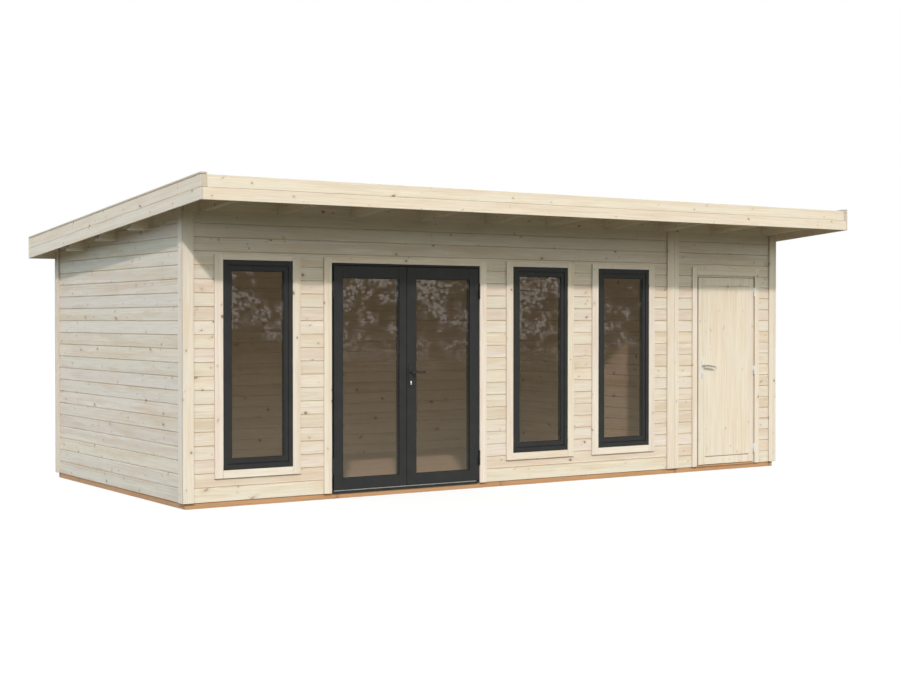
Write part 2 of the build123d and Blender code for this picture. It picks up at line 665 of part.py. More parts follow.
def store_leaf(x0, x1):
    """Stiles and rails, and the board panel between them with a groove over and under it."""
    z0, z1 = leaf_heights(STORE_LEAF_FOOT, STORE_DOOR_HEAD)
    px0 = x0 + STORE_LOCK_STILE
    px1 = x1 - STORE_HINGE_STILE
    pz0 = z0 + STORE_FOOT_RAIL
    pz1 = z1 - STORE_TOP_RAIL
    frame = block(x0, x1, LEAF_FRONT, LEAF_BACK, z0, z1)
    frame -= block(px0, px1, LEAF_FRONT, LEAF_BACK, pz0, pz1)
    middle = LEAF_FRONT + PANEL_THICKNESS
    back = middle + PANEL_BACK_THICKNESS
    panel = side_prism(
        px0, px1,
        (LEAF_FRONT, pz0 + PANEL_FOOT_GROOVE),
        (middle, pz0 + PANEL_FOOT_GROOVE),
        (middle, pz0),
        (back, pz0),
        (back, pz1),
        (middle, pz1),
        (middle, pz1 - PANEL_TOP_GROOVE),
        (LEAF_FRONT, pz1 - PANEL_TOP_GROOVE),
    )
    return frame, panel


def build_store_door():
    """The board door of the store room, hinged on the right and opening outward."""
    x0, x1 = leaf_span(STORE_DOOR_CENTRE, STORE_DOOR_WIDTH)
    spindle_x = x0 + STORE_LOCK_BACKSET
    frame, panel = store_leaf(x0, x1)
    heights = hinge_heights(STORE_LEAF_FOOT, STORE_DOOR_HEAD, STORE_HINGE_COUNT, STORE_HINGE_INSET)
    frame_halves, leaf_halves = hinge_halves(
        hinge_axis_x(x1, -1), -1, heights, STORE_HINGE_KNUCKLE, STORE_HINGE_PLATE)
    head = WALL_BOTTOM + STORE_DOOR_HEAD
    keep("store_door_frame", door_frame(STORE_DOOR_CENTRE, STORE_DOOR_WIDTH, head))
    keep("store_door_threshold", threshold(
        STORE_DOOR_CENTRE, STORE_DOOR_WIDTH, STORE_THRESHOLD_HEIGHT))
    keep("store_door_casing", *casing_boards(
        STORE_DOOR_CENTRE, STORE_DOOR_WIDTH, WALL_BOTTOM, head,
        STORE_CASING_SIDE, STORE_CASING_TOP, 0))
    keep("store_door_frame_hinges", *frame_halves)
    keep("store_door_leaf", frame - spindle_hole(spindle_x))
    keep("store_door_panel", panel)
    keep("store_door_leaf_hinges", *leaf_halves)
    keep("store_door_lock_plates", *lock_plates(spindle_x))
    keep("store_door_lever", lever(spindle_x, LEVER_DROOP))


# Roof

def build_roof():
    """Purlins, joists of the front overhang, roof boards, felt, battens, fascias and verge caps."""
    rim = FASCIA_THICKNESS
    left = ROOF_LEFT + rim
    right = ROOF_RIGHT - rim
    front = ROOF_FRONT + rim
    back = ROOF_BACK - rim
    deck_left = left + BATTEN_WIDTH
    deck_right = right - BATTEN_WIDTH
    rail_back = front + EDGE_RAIL_WIDTH
    seam = DECK_THICKNESS - FASCIA_BOARD_HEIGHT
    batten_spans = ((left, deck_left), (deck_right, right))
    battens = [roof_layer(x0, x1, ROOF_FRONT, ROOF_BACK, seam, DECK_THICKNESS) for x0, x1 in batten_spans]
    purlins = [
        roof_layer(deck_left, deck_right, y, y + PURLIN_WIDTH, -PURLIN_DEPTH, 0) for y in purlin_fronts()]
    rail = roof_layer(left, right, front, rail_back, -EDGE_RAIL_DEPTH, 0) - battens[0] - battens[1]
    keep("roof_purlins", *purlins)
    keep("overhang_joists", *[
        roof_layer(x, x + JOIST_WIDTH, rail_back, FIRST_PURLIN_FRONT, -JOIST_DEPTH, 0)
        for x in joist_lefts()])
    keep("front_edge_rail", rail)
    keep("verge_battens", *battens)
    keep("roof_deck", roof_layer(deck_left, deck_right, front, back, 0, DECK_THICKNESS))
    felt_top = DECK_THICKNESS + FELT_THICKNESS
    keep("roofing_felt", roof_layer(left, right, front, back, DECK_THICKNESS, felt_top))
    low = DECK_THICKNESS - FASCIA_HEIGHT
    lower_band = (low, seam - BOARD_JOINT)
    upper_band = (seam, DECK_THICKNESS)
    for name, y0, y1 in (("front_fascia", ROOF_FRONT, front), ("back_fascia", back, ROOF_BACK)):
        keep(
            name,
            roof_layer(left, right, y0, y1, *lower_band),
            roof_layer(deck_left, deck_right, y0, y1, *upper_band),
        )
    for name, x0, x1 in (("left_fascia", ROOF_LEFT, left), ("right_fascia", right, ROOF_RIGHT)):
        keep(name, *[roof_layer(x0, x1, ROOF_FRONT, ROOF_BACK, *band) for band in (lower_band, upper_band)])
    cap_high = felt_top + CAP_THICKNESS
    keep(
        "verge_caps",
        roof_layer(ROOF_LEFT, ROOF_LEFT + CAP_WIDTH, ROOF_FRONT, ROOF_BACK, felt_top, cap_high),
        roof_layer(ROOF_RIGHT - CAP_WIDTH, ROOF_RIGHT, ROOF_FRONT, ROOF_BACK, felt_top, cap_high),
    )


build_base()
build_walls()
build_trims()
build_windows()
build_double_door()
build_store_door()
build_roof()

os.makedirs("parts", exist_ok=True)
for name, solids in nodes.items():
    shape = Compound(children=solids) if len(solids) > 1 else solids[0]
    export_step(shape, os.path.join("parts", name + ".step"))
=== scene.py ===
import json
import logging
import math
import random
from collections.abc import Iterable, Iterator, Mapping, Sequence
from dataclasses import dataclass, field
from enum import Enum
from typing import Any

import bmesh
import bpy
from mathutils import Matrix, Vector

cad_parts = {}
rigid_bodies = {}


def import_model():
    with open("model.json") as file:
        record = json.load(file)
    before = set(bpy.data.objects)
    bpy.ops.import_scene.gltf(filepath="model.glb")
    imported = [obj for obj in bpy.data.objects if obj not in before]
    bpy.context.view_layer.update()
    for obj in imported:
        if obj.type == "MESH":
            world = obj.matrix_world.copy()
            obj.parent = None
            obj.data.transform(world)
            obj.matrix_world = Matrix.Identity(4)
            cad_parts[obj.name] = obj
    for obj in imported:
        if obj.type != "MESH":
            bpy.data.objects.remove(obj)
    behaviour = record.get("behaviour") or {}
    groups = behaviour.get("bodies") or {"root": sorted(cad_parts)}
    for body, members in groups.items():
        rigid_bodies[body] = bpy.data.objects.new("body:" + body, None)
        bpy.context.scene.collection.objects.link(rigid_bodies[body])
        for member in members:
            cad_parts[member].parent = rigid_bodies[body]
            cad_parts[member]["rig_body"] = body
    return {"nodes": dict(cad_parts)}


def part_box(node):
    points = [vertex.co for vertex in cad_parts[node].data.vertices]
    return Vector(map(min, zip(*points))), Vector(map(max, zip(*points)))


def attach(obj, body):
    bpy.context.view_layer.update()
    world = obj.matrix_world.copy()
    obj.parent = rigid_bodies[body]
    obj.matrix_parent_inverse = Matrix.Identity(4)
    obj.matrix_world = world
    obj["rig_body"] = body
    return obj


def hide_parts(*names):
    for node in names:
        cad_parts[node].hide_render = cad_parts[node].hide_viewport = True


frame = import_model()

# Garden house of spruce planks: the finish of every board, pane and fitting, and the studio
# that it stands in. Metres throughout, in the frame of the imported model.

log = logging.getLogger("garden_house")
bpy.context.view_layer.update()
MM = 0.001

Colour = tuple[float, float, float]
Socket = bpy.types.NodeSocket
Feed = Any


class Axis(Enum):
    """A direction of the house frame: along the front, back into the depth, or up."""

    ALONG = 0
    BACK = 1
    UP = 2

    @property
    def vector(self) -> Vector:
        """The unit vector of the axis."""
        return Vector([1.0 if i == self.value else 0.0 for i in range(3)])


class Slot(Enum):
    """The record's material slots."""

    SPRUCE = "spruce"
    SPRUCE_BOARDS = "spruce_boards"
    IMPREGNATED = "impregnated_wood"
    ANTHRACITE = "anthracite_wood"
    GLASS = "tinted_glass"
    FELT = "felt"
    ALUMINIUM = "aluminium"
    BLACK_METAL = "black_metal"
    STEEL = "steel"


# Shader graphs

class Graph:
    """Writes the node tree of one material or of the world."""

    def __init__(self, tree: bpy.types.NodeTree) -> None:
        """Start on an empty tree.

        Args:
            tree: The node tree to fill.
        """
        self.tree = tree
        tree.nodes.clear()

    def node(self, kind: str, feeds: Mapping[Any, Feed] | None = None, **settings: Any) -> bpy.types.Node:
        """Add a node.

        Args:
            kind: The node's type name, without its ShaderNode prefix.
            feeds: A value or a socket for each input, by name or number.
            **settings: Properties of the node.

        Returns:
            The new node.
        """
        made = self.tree.nodes.new("ShaderNode" + kind)
        for name, value in settings.items():
            setattr(made, name, value)
        for name, value in (feeds or {}).items():
            self.feed(made.inputs[name], value)
        return made

    def feed(self, target: Socket, value: Feed) -> None:
        """Link a socket to an input, or set the input to a plain value.

        Args:
            target: The input.
            value: A socket, a number, a colour or a vector.
        """
        if isinstance(value, bpy.types.NodeSocket):
            self.tree.links.new(value, target)
        elif isinstance(value, tuple) and len(value) == 3 and len(target.default_value) == 4:
            target.default_value = (*value, 1.0)
        else:
            target.default_value = value

    def math(self, operation: str, *values: Feed, clamp: bool = False) -> Socket:
        """Do one sum on numbers.

        Args:
            operation: The operation of the Math node.
            *values: Its operands.
            clamp: Whether the result is held between 0 and 1.

        Returns:
            The result.
        """
        feeds = dict(enumerate(values))
        return self.node("Math", feeds, operation=operation, use_clamp=clamp).outputs[0]

    def vector(self, operation: str, *values: Feed) -> Socket:
        """Do one sum on vectors.

        Args:
            operation: The operation of the Vector Math node.
            *values: Its operands.

        Returns:
            The result, a number for lengths and dot products.
        """
        made = self.node("VectorMath", dict(enumerate(values)), operation=operation)
        return made.outputs["Value" if operation in ("LENGTH", "DOT_PRODUCT") else "Vector"]

    def split(self, vector: Feed) -> tuple[Socket, Socket, Socket]:
        """The three parts of a vector."""
        made = self.node("SeparateXYZ", {0: vector})
        return made.outputs[0], made.outputs[1], made.outputs[2]

    def join(self, x: Feed, y: Feed, z: Feed = 0.0) -> Socket:
        """A vector from three numbers."""
        return self.node("CombineXYZ", {0: x, 1: y, 2: z}).outputs[0]

    def noise(self, place: Feed, scale: float = 1.0, detail: float = 2.0, line: bool = False) -> Socket:
        """Soft noise from 0 to 1.

        Args:
            place: A vector, or a number where the noise runs along a line.
            scale: Its repeats a unit.
            detail: Its octaves.
            line: Whether place is a number.

        Returns:
            The noise.
        """
        feeds = {"W" if line else "Vector": place, "Scale": scale, "Detail": detail}
        return self.node("TexNoise", feeds, noise_dimensions="1D" if line else "3D").outputs[0]

    def span(self, value: Feed, low: Feed, high: Feed, start: Feed = 0.0, end: Feed = 1.0) -> Socket:
        """Map a range smoothly onto another and hold it there.

        Args:
            value: The number to map.
            low: Where the range starts.
            high: Where it ends.
            start: What low becomes.
            end: What high becomes.

        Returns:
            The mapped number.
        """
        feeds = {"Value": value, "From Min": low, "From Max": high, "To Min": start, "To Max": end}
        return self.node("MapRange", feeds, interpolation_type="SMOOTHSTEP").outputs["Result"]

    def mix(self, factor: Feed, first: Feed, second: Feed, blend: str = "MIX") -> Socket:
        """Blend two colours.

        Args:
            factor: The share of the second.
            first: A colour.
            second: A colour.
            blend: How they blend.

        Returns:
            The blended colour.
        """
        made = self.node("Mix", data_type="RGBA", blend_type=blend)
        for place, value in ((0, factor), (6, first), (7, second)):
            self.feed(made.inputs[place], value)
        return made.outputs[2]

    def bump(self, height: Socket, distance: float, strength: float = 1.0) -> Socket:
        """A bumped normal from a height in shares of a distance in metres."""
        return self.node("Bump", {"Height": height, "Distance": distance, "Strength": strength}).outputs[0]

    def spot(self) -> Socket:
        """The place on the piece, in metres."""
        return self.node("TexCoord").outputs["Object"]

    def fibres(self, grain: Feed, along: float, across: float, shift: Feed = 0.0, detail: float = 2.0) -> Socket:
        """Noise drawn out along the grain.

        Args:
            grain: The place along, across and into the board.
            along: Its repeats a metre along the grain.
            across: Its repeats a metre across the grain.
            shift: How far it is moved across the grain, in repeats.
            detail: Its octaves.

        Returns:
            The noise.
        """
        u, v, w = self.split(grain)
        place = self.join(self.math("MULTIPLY", u, along), self.math("MULTIPLY_ADD", v, across, shift),
                          self.math("MULTIPLY", w, across))
        return self.noise(place, 1.0, detail)

    def surface(self, colour: Feed, roughness: Feed, normal: Socket, **settings: float) -> None:
        """End the tree in one principled surface.

        Args:
            colour: Its colour.
            roughness: Its roughness.
            normal: Its bumped normal.
            **settings: Plain numbers for its other sockets, named with _ for each space.
        """
        feeds = {"Base Color": colour, "Roughness": roughness, "Normal": normal}
        feeds.update({name.replace("_", " "): value for name, value in settings.items()})
        self.end(self.node("BsdfPrincipled", feeds).outputs[0])

    def end(self, shader: Socket, kind: str = "OutputMaterial") -> None:
        """Link the finished shader to the tree's output."""
        self.node(kind, {"Surface": shader})


# Finishes

@dataclass(frozen=True)
class Finish:
    """A surface finish; each kind writes its own shader."""

    name: str

    def material(self) -> bpy.types.Material:
        """The finish's material, made the first time it is asked for.

        Returns:
            The material.
        """
        made = bpy.data.materials.get(self.name)
        if made is None:
            made = bpy.data.materials.new(self.name)
            made.use_nodes = True
            self.write(Graph(made.node_tree))
        return made

    def write(self, g: Graph) -> None:
        """Write the shader.

        Args:
            g: The graph of the material.
        """
        raise NotImplementedError


@dataclass(frozen=True)
class Knots:
    """How one size of knot is strewn over a board: its share of the cells, and the cells a metre."""

    share: float
    radius: float
    along: float
    across: float


@dataclass(frozen=True)
class Grain:
    """How finely the parts of the grain are drawn, in repeats a metre where no other unit is named."""

    fine_rings: float = 330.0
    broad_rings: float = 75.0
    ring_flatness: float = 0.8
    heart_pace: float = 0.5
    heart_wander: float = 50 * MM
    waver: tuple[float, float] = (4.0, 24.0)
    waver_width: float = 3 * MM
    fibre: tuple[float, float] = (9.0, 700.0)
    streak: tuple[float, float] = (2.6, 95.0)
    check: tuple[float, float] = (5.5, 210.0)
    cloud: tuple[float, float] = (1.7, 13.0)
    relief: float = 0.35 * MM


@dataclass(frozen=True)
class SawnWood(Finish):
    """Softwood with growth rings, fibres and knots, drawn along each board's own grain."""

    pale: Colour
    late: Colour
    warm: Colour
    knot: Colour = (0.17, 0.085, 0.04)
    # The colour of the painted shade in the joints; the edges and ends of boards also darken towards it.
    shade_and_edge_tone: Colour = (0.16, 0.115, 0.075)
    ring_share: float = 0.34
    branch: Knots = Knots(0.24, 11 * MM, 2.4, 11.0)
    twig: Knots = Knots(0.12, 5 * MM, 6.0, 24.0)
    twig_offset: tuple[float, float, float] = (3.7, 0.13, 0.0)
    grain: Grain = Grain()
    board_shift: float = 71.0
    heart_shift: float = 97.0
    roughness: float = 0.62

    def strew(self, g: Graph, grain: Socket, kind: Knots) -> tuple[Socket, Socket, Socket, Socket]:
        """Strew one kind of knot over the boards.

        Args:
            g: The graph of the material.
            grain: The place along, across and into the board.
            kind: The knots' size and number.

        Returns:
            The core, the rim and the halo of the knots from 0 to 1, and how far they push the rings aside.
        """
        u, v, _ = g.split(grain)
        place = g.join(g.math("MULTIPLY", u, kind.along), g.math("MULTIPLY", v, kind.across))
        cells = g.node("TexVoronoi", {"Vector": place, "Scale": 1.0, "Randomness": 1.0}, voronoi_dimensions="2D")
        away = g.vector("SUBTRACT", place, cells.outputs["Position"])
        away = g.vector("DIVIDE", away, (kind.along, kind.across, 1.0))
        chance, spread, slant = g.split(cells.outputs["Color"])
        some = g.math("GREATER_THAN", chance, 1.0 - kind.share)
        size = g.math("MULTIPLY", g.math("MULTIPLY_ADD", spread, 0.75, 0.25), kind.radius)
        size = g.math("MULTIPLY_ADD", size, some, 0.01 * MM)
        along, across, _ = g.split(away)
        across = g.math("ADD", across, g.math("MULTIPLY", along, g.math("MULTIPLY_ADD", slant, 0.8, -0.4)))
        ragged = g.noise(grain, 0.9 / kind.radius, 2.0)
        shape = g.join(g.math("MULTIPLY", along, g.math("MULTIPLY_ADD", slant, 0.6, 0.4)), across)
        gap = g.math("MULTIPLY", g.vector("LENGTH", shape), g.math("MULTIPLY_ADD", ragged, 1.5, 0.25))
        share = g.math("DIVIDE", gap, size)
        depth = g.math("MULTIPLY_ADD", g.math("FRACT", g.math("MULTIPLY", spread, 5.0)), 0.62, 0.22)
        core = g.math("MULTIPLY", g.span(share, 0.6, 1.2, 1.0, 0.0), depth)
        rim = g.math("MULTIPLY", g.span(share, 0.55, 0.95), g.span(share, 0.95, 1.5, 1.0, 0.0))
        rim = g.math("MULTIPLY", rim, g.math("MULTIPLY", depth, slant))
        halo = g.span(share, 0.8, 4.5, 1.0, 0.0)
        near = g.vector("LENGTH", g.join(g.math("MULTIPLY", along, 0.25), across))
        bend = g.span(g.math("DIVIDE", near, size), 0.2, 4.2, 1.0, 0.0)
        push = g.math("MULTIPLY", g.math("MULTIPLY", bend, g.math("SIGN", across)), size)
        return core, rim, halo, push

    def rings(self, g: Graph, grain: Socket, tone: Socket, push: Socket) -> tuple[Socket, Socket]:
        """Draw the growth rings about a heart that wanders along the board.

        Args:
            g: The graph of the material.
            grain: The place along, across and into the board.
            tone: The board's own random number.
            push: How far the knots push the rings aside.

        Returns:
            The fine rings and the broad bands that they lie in, from 0 to 1.
        """
        u, v, w = g.split(grain)
        shift = g.math("MULTIPLY", tone, self.board_shift)
        heart = g.math("MULTIPLY_ADD", tone, self.heart_shift, g.math("MULTIPLY", u, self.grain.heart_pace))
        wander = g.math("MULTIPLY_ADD", g.noise(heart, 1.0, 1.0, line=True),
                        self.grain.heart_wander, -self.grain.heart_wander / 2)
        beside = g.math("ADD", g.math("SUBTRACT", v, push), wander)
        ring = g.vector("LENGTH", g.join(g.math("MULTIPLY", beside, self.grain.ring_flatness), w))
        along, across = self.grain.waver
        waver = g.noise(g.join(g.math("MULTIPLY", u, along), g.math("MULTIPLY", v, across), w), 1.0, 2.0)
        ring = g.math("ADD", ring, g.math("MULTIPLY", waver, self.grain.waver_width))
        fine, broad = (g.noise(g.math("MULTIPLY_ADD", ring, pace, shift), 1.0, 1.0, line=True)
                       for pace in (self.grain.fine_rings, self.grain.broad_rings))
        return fine, broad

    def board_tint(self, g: Graph, tone: Socket) -> Socket:
        """The slight tint of each board: its lightness, red and blue vary one by one.

        Args:
            g: The graph of the material.
            tone: The board's own random number.

        Returns:
            The colour to multiply with.
        """
        spreads = ((7.3, 0.06, 0.97), (13.7, 0.035, 0.985), (29.1, 0.08, 0.955))
        light, red, blue = (g.math("MULTIPLY_ADD", g.math("FRACT", g.math("MULTIPLY", tone, pace)), width, least)
                            for pace, width, least in spreads)
        return g.join(g.math("MULTIPLY", light, red), light, g.math("MULTIPLY", light, blue))

    def write(self, g: Graph) -> None:
        """Write the wood: rings about a wandering heart, bent round the knots, painted shade in the joints, and
        board edges darkened, partly their own tone and partly painted shade.

        Args:
            g: The graph of the material.
        """
        grain = g.node("Attribute", attribute_name="grain").outputs["Vector"]
        tone = g.node("Attribute", attribute_name="board").outputs["Fac"]
        groove = g.node("Attribute", attribute_name="groove").outputs["Fac"]
        board_edges = g.node("Attribute", attribute_name="side").outputs["Fac"]
        core, rim, halo, push = self.strew(g, grain, self.branch)
        twig, twig_rim, twig_halo, _ = self.strew(g, g.vector("ADD", grain, self.twig_offset), self.twig)
        fine, broad = self.rings(g, grain, tone, push)
        shift = g.math("MULTIPLY", tone, self.board_shift)
        fibre = g.fibres(grain, *self.grain.fibre)
        streak = g.fibres(grain, *self.grain.streak, shift)
        check = g.span(g.fibres(grain, *self.grain.check, shift), 0.56, 0.74)
        check = g.math("MULTIPLY", check, g.math("MULTIPLY", streak, 0.9))
        u, v, _ = g.split(grain)
        along, across = self.grain.cloud
        cloud = g.noise(g.join(g.math("MULTIPLY", u, along), g.math("MULTIPLY", v, across), shift), 1.0, 3.0)
        late = g.math("MULTIPLY", g.span(fine, 0.44, 0.66), g.math("MULTIPLY", broad, 1.1, clamp=True))
        late = g.math("MULTIPLY", late, self.ring_share)
        drift = g.math("ADD", g.math("MULTIPLY", broad, 0.35), g.math("MULTIPLY", cloud, 0.65))
        colour = g.mix(g.span(drift, 0.43, 0.66), self.pale, self.warm)
        colour = g.mix(late, colour, self.late)
        colour = g.mix(check, colour, self.late)
        worn = g.math("MULTIPLY_ADD", fibre, 0.12, g.math("MULTIPLY_ADD", streak, 0.26, 0.94 - 0.125))
        colour = g.mix(1.0, colour, g.join(worn, worn, worn), "MULTIPLY")
        colour = g.mix(1.0, colour, self.board_tint(g, tone), "MULTIPLY")
        halo = g.math("MAXIMUM", halo, twig_halo)
        colour = g.mix(g.math("MULTIPLY", halo, 0.34), colour, self.late)
        colour = g.mix(g.math("MAXIMUM", core, g.math("MULTIPLY", twig, 0.75)), colour, self.knot)
        rim = g.math("MULTIPLY", g.math("MAXIMUM", rim, twig_rim), 0.7)
        colour = g.mix(rim, colour, tuple(0.4 * c for c in self.knot))
        # Painted shade: the grooves of the joints darken towards the joint colour, and the edges and ends of the
        # boards by 30%, partly their own sawn tone and partly painted shade.
        painted_shade = g.math("MULTIPLY", groove, g.math("MULTIPLY_ADD", cloud, 0.5, 0.7), clamp=True)
        painted_shade = g.math("MAXIMUM", painted_shade, g.math("MULTIPLY", board_edges, 0.30))
        colour = g.mix(painted_shade, colour, self.shade_and_edge_tone)
        height = g.math("ADD", g.math("MULTIPLY", fine, 0.6), g.math("MULTIPLY", fibre, 0.5))
        height = g.math("ADD", height, g.math("MULTIPLY", core, 0.9))
        rough = g.math("MULTIPLY_ADD", g.math("ADD", fibre, late), 0.14, self.roughness - 0.1)
        g.surface(colour, rough, g.bump(height, self.grain.relief, 0.7), Specular_IOR_Level=0.28)


@dataclass(frozen=True)
class PaintedWood(Finish):
    """Satin paint on smooth timber, with the grain just telegraphing through."""

    colour: Colour
    worn: Colour
    roughness: float = 0.42

    def write(self, g: Graph) -> None:
        """Write the paint: long soft streaks of the grain, a fine spray texture and dust.

        Args:
            g: The graph of the material.
        """
        streak = g.fibres(g.node("Attribute", attribute_name="grain").outputs["Vector"], 6.0, 260.0, detail=3.0)
        spot = g.spot()
        spray = g.noise(spot, 2600.0, 1.0)
        dust = g.noise(spot, 9.0, 4.0)
        share = g.span(g.math("MULTIPLY_ADD", dust, 0.6, g.math("MULTIPLY", streak, 0.4)), 0.38, 0.68)
        rough = g.math("MULTIPLY_ADD", dust, 0.2, self.roughness - 0.1)
        normal = g.bump(g.math("MULTIPLY_ADD", spray, 0.25, streak), 0.12 * MM, 0.6)
        g.surface(g.mix(share, self.colour, self.worn), rough, normal, Specular_IOR_Level=0.3)


@dataclass(frozen=True)
class Glass(Finish):
    """Tinted window glass that lets light straight through and mirrors a little."""

    tint: Colour
    mirror: Colour
    haze: float = 0.008
    index: float = 1.8
    ripples: float = 1.7
    ripple_height: float = 0.5 * MM

    def write(self, g: Graph) -> None:
        """Write the glass; only the faces that look outward mirror.

        Args:
            g: The graph of the material.
        """
        normal = g.bump(g.noise(g.spot(), self.ripples, 1.0), self.ripple_height, 0.2)
        back = g.node("NewGeometry").outputs["Backfacing"]
        fresnel = g.node("Fresnel", {"IOR": self.index, "Normal": normal}).outputs[0]
        share = g.math("MULTIPLY", fresnel, g.math("SUBTRACT", 1.0, back))
        clear = g.node("BsdfTransparent", {"Color": self.tint}).outputs[0]
        gloss = g.node("BsdfGlossy", {"Color": self.mirror, "Roughness": self.haze, "Normal": normal}).outputs[0]
        g.end(g.node("MixShader", {0: share, 1: clear, 2: gloss}).outputs[0])


@dataclass(frozen=True)
class Felt(Finish):
    """Mineral-surfaced roofing felt."""

    dark: Colour
    grit: Colour
    chips: float = 420.0
    patches: float = 1.3

    def write(self, g: Graph) -> None:
        """Write the felt: coarse grit, with broad weathered patches.

        Args:
            g: The graph of the material.
        """
        spot = g.spot()
        grain = g.node("TexVoronoi", {"Vector": spot, "Scale": self.chips})
        chip, _, _ = g.split(grain.outputs["Color"])
        patch = g.noise(spot, self.patches, 4.0)
        colour = g.mix(g.math("MULTIPLY", chip, chip), self.dark, self.grit)
        colour = g.mix(g.span(patch, 0.3, 0.7, 0.0, 0.35), colour, self.grit)
        height = g.math("SUBTRACT", 1.0, grain.outputs["Distance"])
        g.surface(colour, 0.9, g.bump(height, 0.9 * MM, 0.8))


@dataclass(frozen=True)
class Metal(Finish):
    """Plain metal, brushed or coated, with faint wear."""

    colour: Colour
    metallic: float
    roughness: float
    brushed: float = 0.3
    brush_along: float = 30.0
    brush_across: float = 900.0
    wear: float = 0.82

    def write(self, g: Graph) -> None:
        """Write the metal: brush lines along X, and smudges that change the gloss.

        Args:
            g: The graph of the material.
        """
        spot = g.spot()
        lines = g.fibres(spot, self.brush_along, self.brush_across)
        smudge = g.noise(spot, 28.0, 3.0)
        rough = g.math("MULTIPLY_ADD", smudge, 0.16, self.roughness - 0.08)
        dull = tuple(self.wear * c for c in self.colour)
        colour = g.mix(g.span(smudge, 0.35, 0.75), self.colour, dull)
        g.surface(colour, rough, g.bump(lines, 0.08 * MM, self.brushed), Metallic=self.metallic)


@dataclass(frozen=True)
class Rubber(Finish):
    """Black glazing rubber."""

    colour: Colour = (0.012, 0.012, 0.012)
    dusty: Colour = (0.035, 0.034, 0.032)

    def write(self, g: Graph) -> None:
        """Write the rubber: dull, with a bloom of dust.

        Args:
            g: The graph of the material.
        """
        spot = g.spot()
        bloom = g.noise(spot, 60.0, 3.0)
        colour = g.mix(g.span(bloom, 0.5, 0.8), self.colour, self.dusty)
        g.surface(colour, 0.78, g.bump(g.noise(spot, 1400.0, 1.0), 0.1 * MM, 0.5))


WALL_WOOD = SawnWood("spruce_planks", (0.875, 0.795, 0.69), (0.66, 0.49, 0.35), (0.815, 0.69, 0.55))
TRIM_WOOD = SawnWood("spruce_trim", (0.905, 0.812, 0.70), (0.73, 0.56, 0.43), (0.865, 0.735, 0.60),
                     branch=Knots(0.20, 10 * MM, 2.4, 13.0), twig=Knots(0.10, 5 * MM, 5.0, 24.0))
DOOR_WOOD = SawnWood("spruce_door_boards", (0.895, 0.805, 0.70), (0.72, 0.56, 0.43), (0.85, 0.735, 0.605),
                     branch=Knots(0.12, 10 * MM, 2.4, 11.0), twig=Knots(0.08, 5 * MM, 5.0, 24.0))
# Its last colour darkens the beams' edges and ends, partly their own tone and partly painted shade.
BASE_WOOD = SawnWood("impregnated_timber", (0.86, 0.49, 0.27), (0.58, 0.29, 0.13), (0.78, 0.42, 0.21),
                     knot=(0.14, 0.06, 0.02), shade_and_edge_tone=(0.10, 0.05, 0.025))
DARK_PAINT = PaintedWood("anthracite_paint", (0.026, 0.027, 0.029), (0.034, 0.033, 0.033))
WINDOW_GLASS = Glass("tinted_window_glass", (0.935, 0.91, 0.885), (0.9, 0.88, 0.83))
ROOF_FELT = Felt("mineral_felt", (0.055, 0.056, 0.058), (0.17, 0.17, 0.17))
ALUMINIUM = Metal("brushed_aluminium", (0.80, 0.80, 0.79), 1.0, 0.34)
STEEL = Metal("satin_chrome", (0.95, 0.94, 0.92), 0.25, 0.3, 0.15)
NICKEL = Metal("dull_nickel", (0.52, 0.49, 0.46), 1.0, 0.34, 0.15)
BLACK_METAL = Metal("black_coating", (0.022, 0.022, 0.023), 0.0, 0.36, 0.2)
BROWN_METAL = Metal("dark_bronze_coating", (0.058, 0.045, 0.042), 0.3, 0.4, 0.2)
RUBBER = Rubber("glazing_rubber")


# Boards cut from the solids

@dataclass
class Joint:
    """The shape of a joint between two boards: (distance from it, depth) pairs, nearest last.

    The board above the joint has steps, and the one below it has under, or steps where that is empty.
    """

    steps: tuple[tuple[float, float], ...] = ((3.0 * MM, 0.0), (0.9 * MM, 1.8 * MM), (0.0, 6.0 * MM))
    under: tuple[tuple[float, float], ...] = ()
    # How much the corners at each step darken in the wood: painted shade in the groove.
    painted_shade: tuple[float, ...] = (0.0, 0.1, 0.5)


# Wall joints: a wide bevel above, a narrow one below, and light painted shade in the groove.
WALL_JOINT = Joint(((7.6 * MM, 0.0), (1.0 * MM, 8.0 * MM), (0.0, 9.0 * MM)),
                   ((2.6 * MM, 0.0), (0.9 * MM, 6.0 * MM), (0.0, 9.0 * MM)), (0.0, 0.04, 0.4))
FLOOR_JOINT = Joint(((1.2 * MM, 0.0), (0.4 * MM, 0.6 * MM), (0.0, 3.0 * MM)))
ROOF_JOINT = Joint(((3.0 * MM, 0.0), (0.7 * MM, 2.4 * MM), (0.0, 5.0 * MM)))
PANEL_JOINT = Joint(((0.8 * MM, 0.0), (0.3 * MM, 0.3 * MM), (0.0, 1.2 * MM)))
FRAME_EASE = 1.5 * MM

# How far past a solid the outermost cuts lie, how close corners count as one or as on a joint's line or
# on a cutting plane, and the angles in radians up to which a face is flat and from which an edge is sharp.
BEYOND = 1.0
MERGED = 0.01 * MM
ON_LINE = 0.02 * MM
ON_PLANE = 1e-6
FLAT = 0.002
SHARP = 0.35


def solid_of(node: str) -> bmesh.types.BMesh:
    """A closed copy of a CAD node's mesh.

    Args:
        node: The node's name.

    Returns:
        The copy, with its corners merged.
    """
    mesh = bmesh.new()
    mesh.from_mesh(frame["nodes"][node].data)
    bmesh.ops.remove_doubles(mesh, verts=mesh.verts[:], dist=MERGED)
    return mesh


def flatten(mesh: bmesh.types.BMesh) -> None:
    """Join the triangles of each flat face into one."""
    bmesh.ops.dissolve_limit(mesh, angle_limit=FLAT, verts=mesh.verts[:], edges=mesh.edges[:])


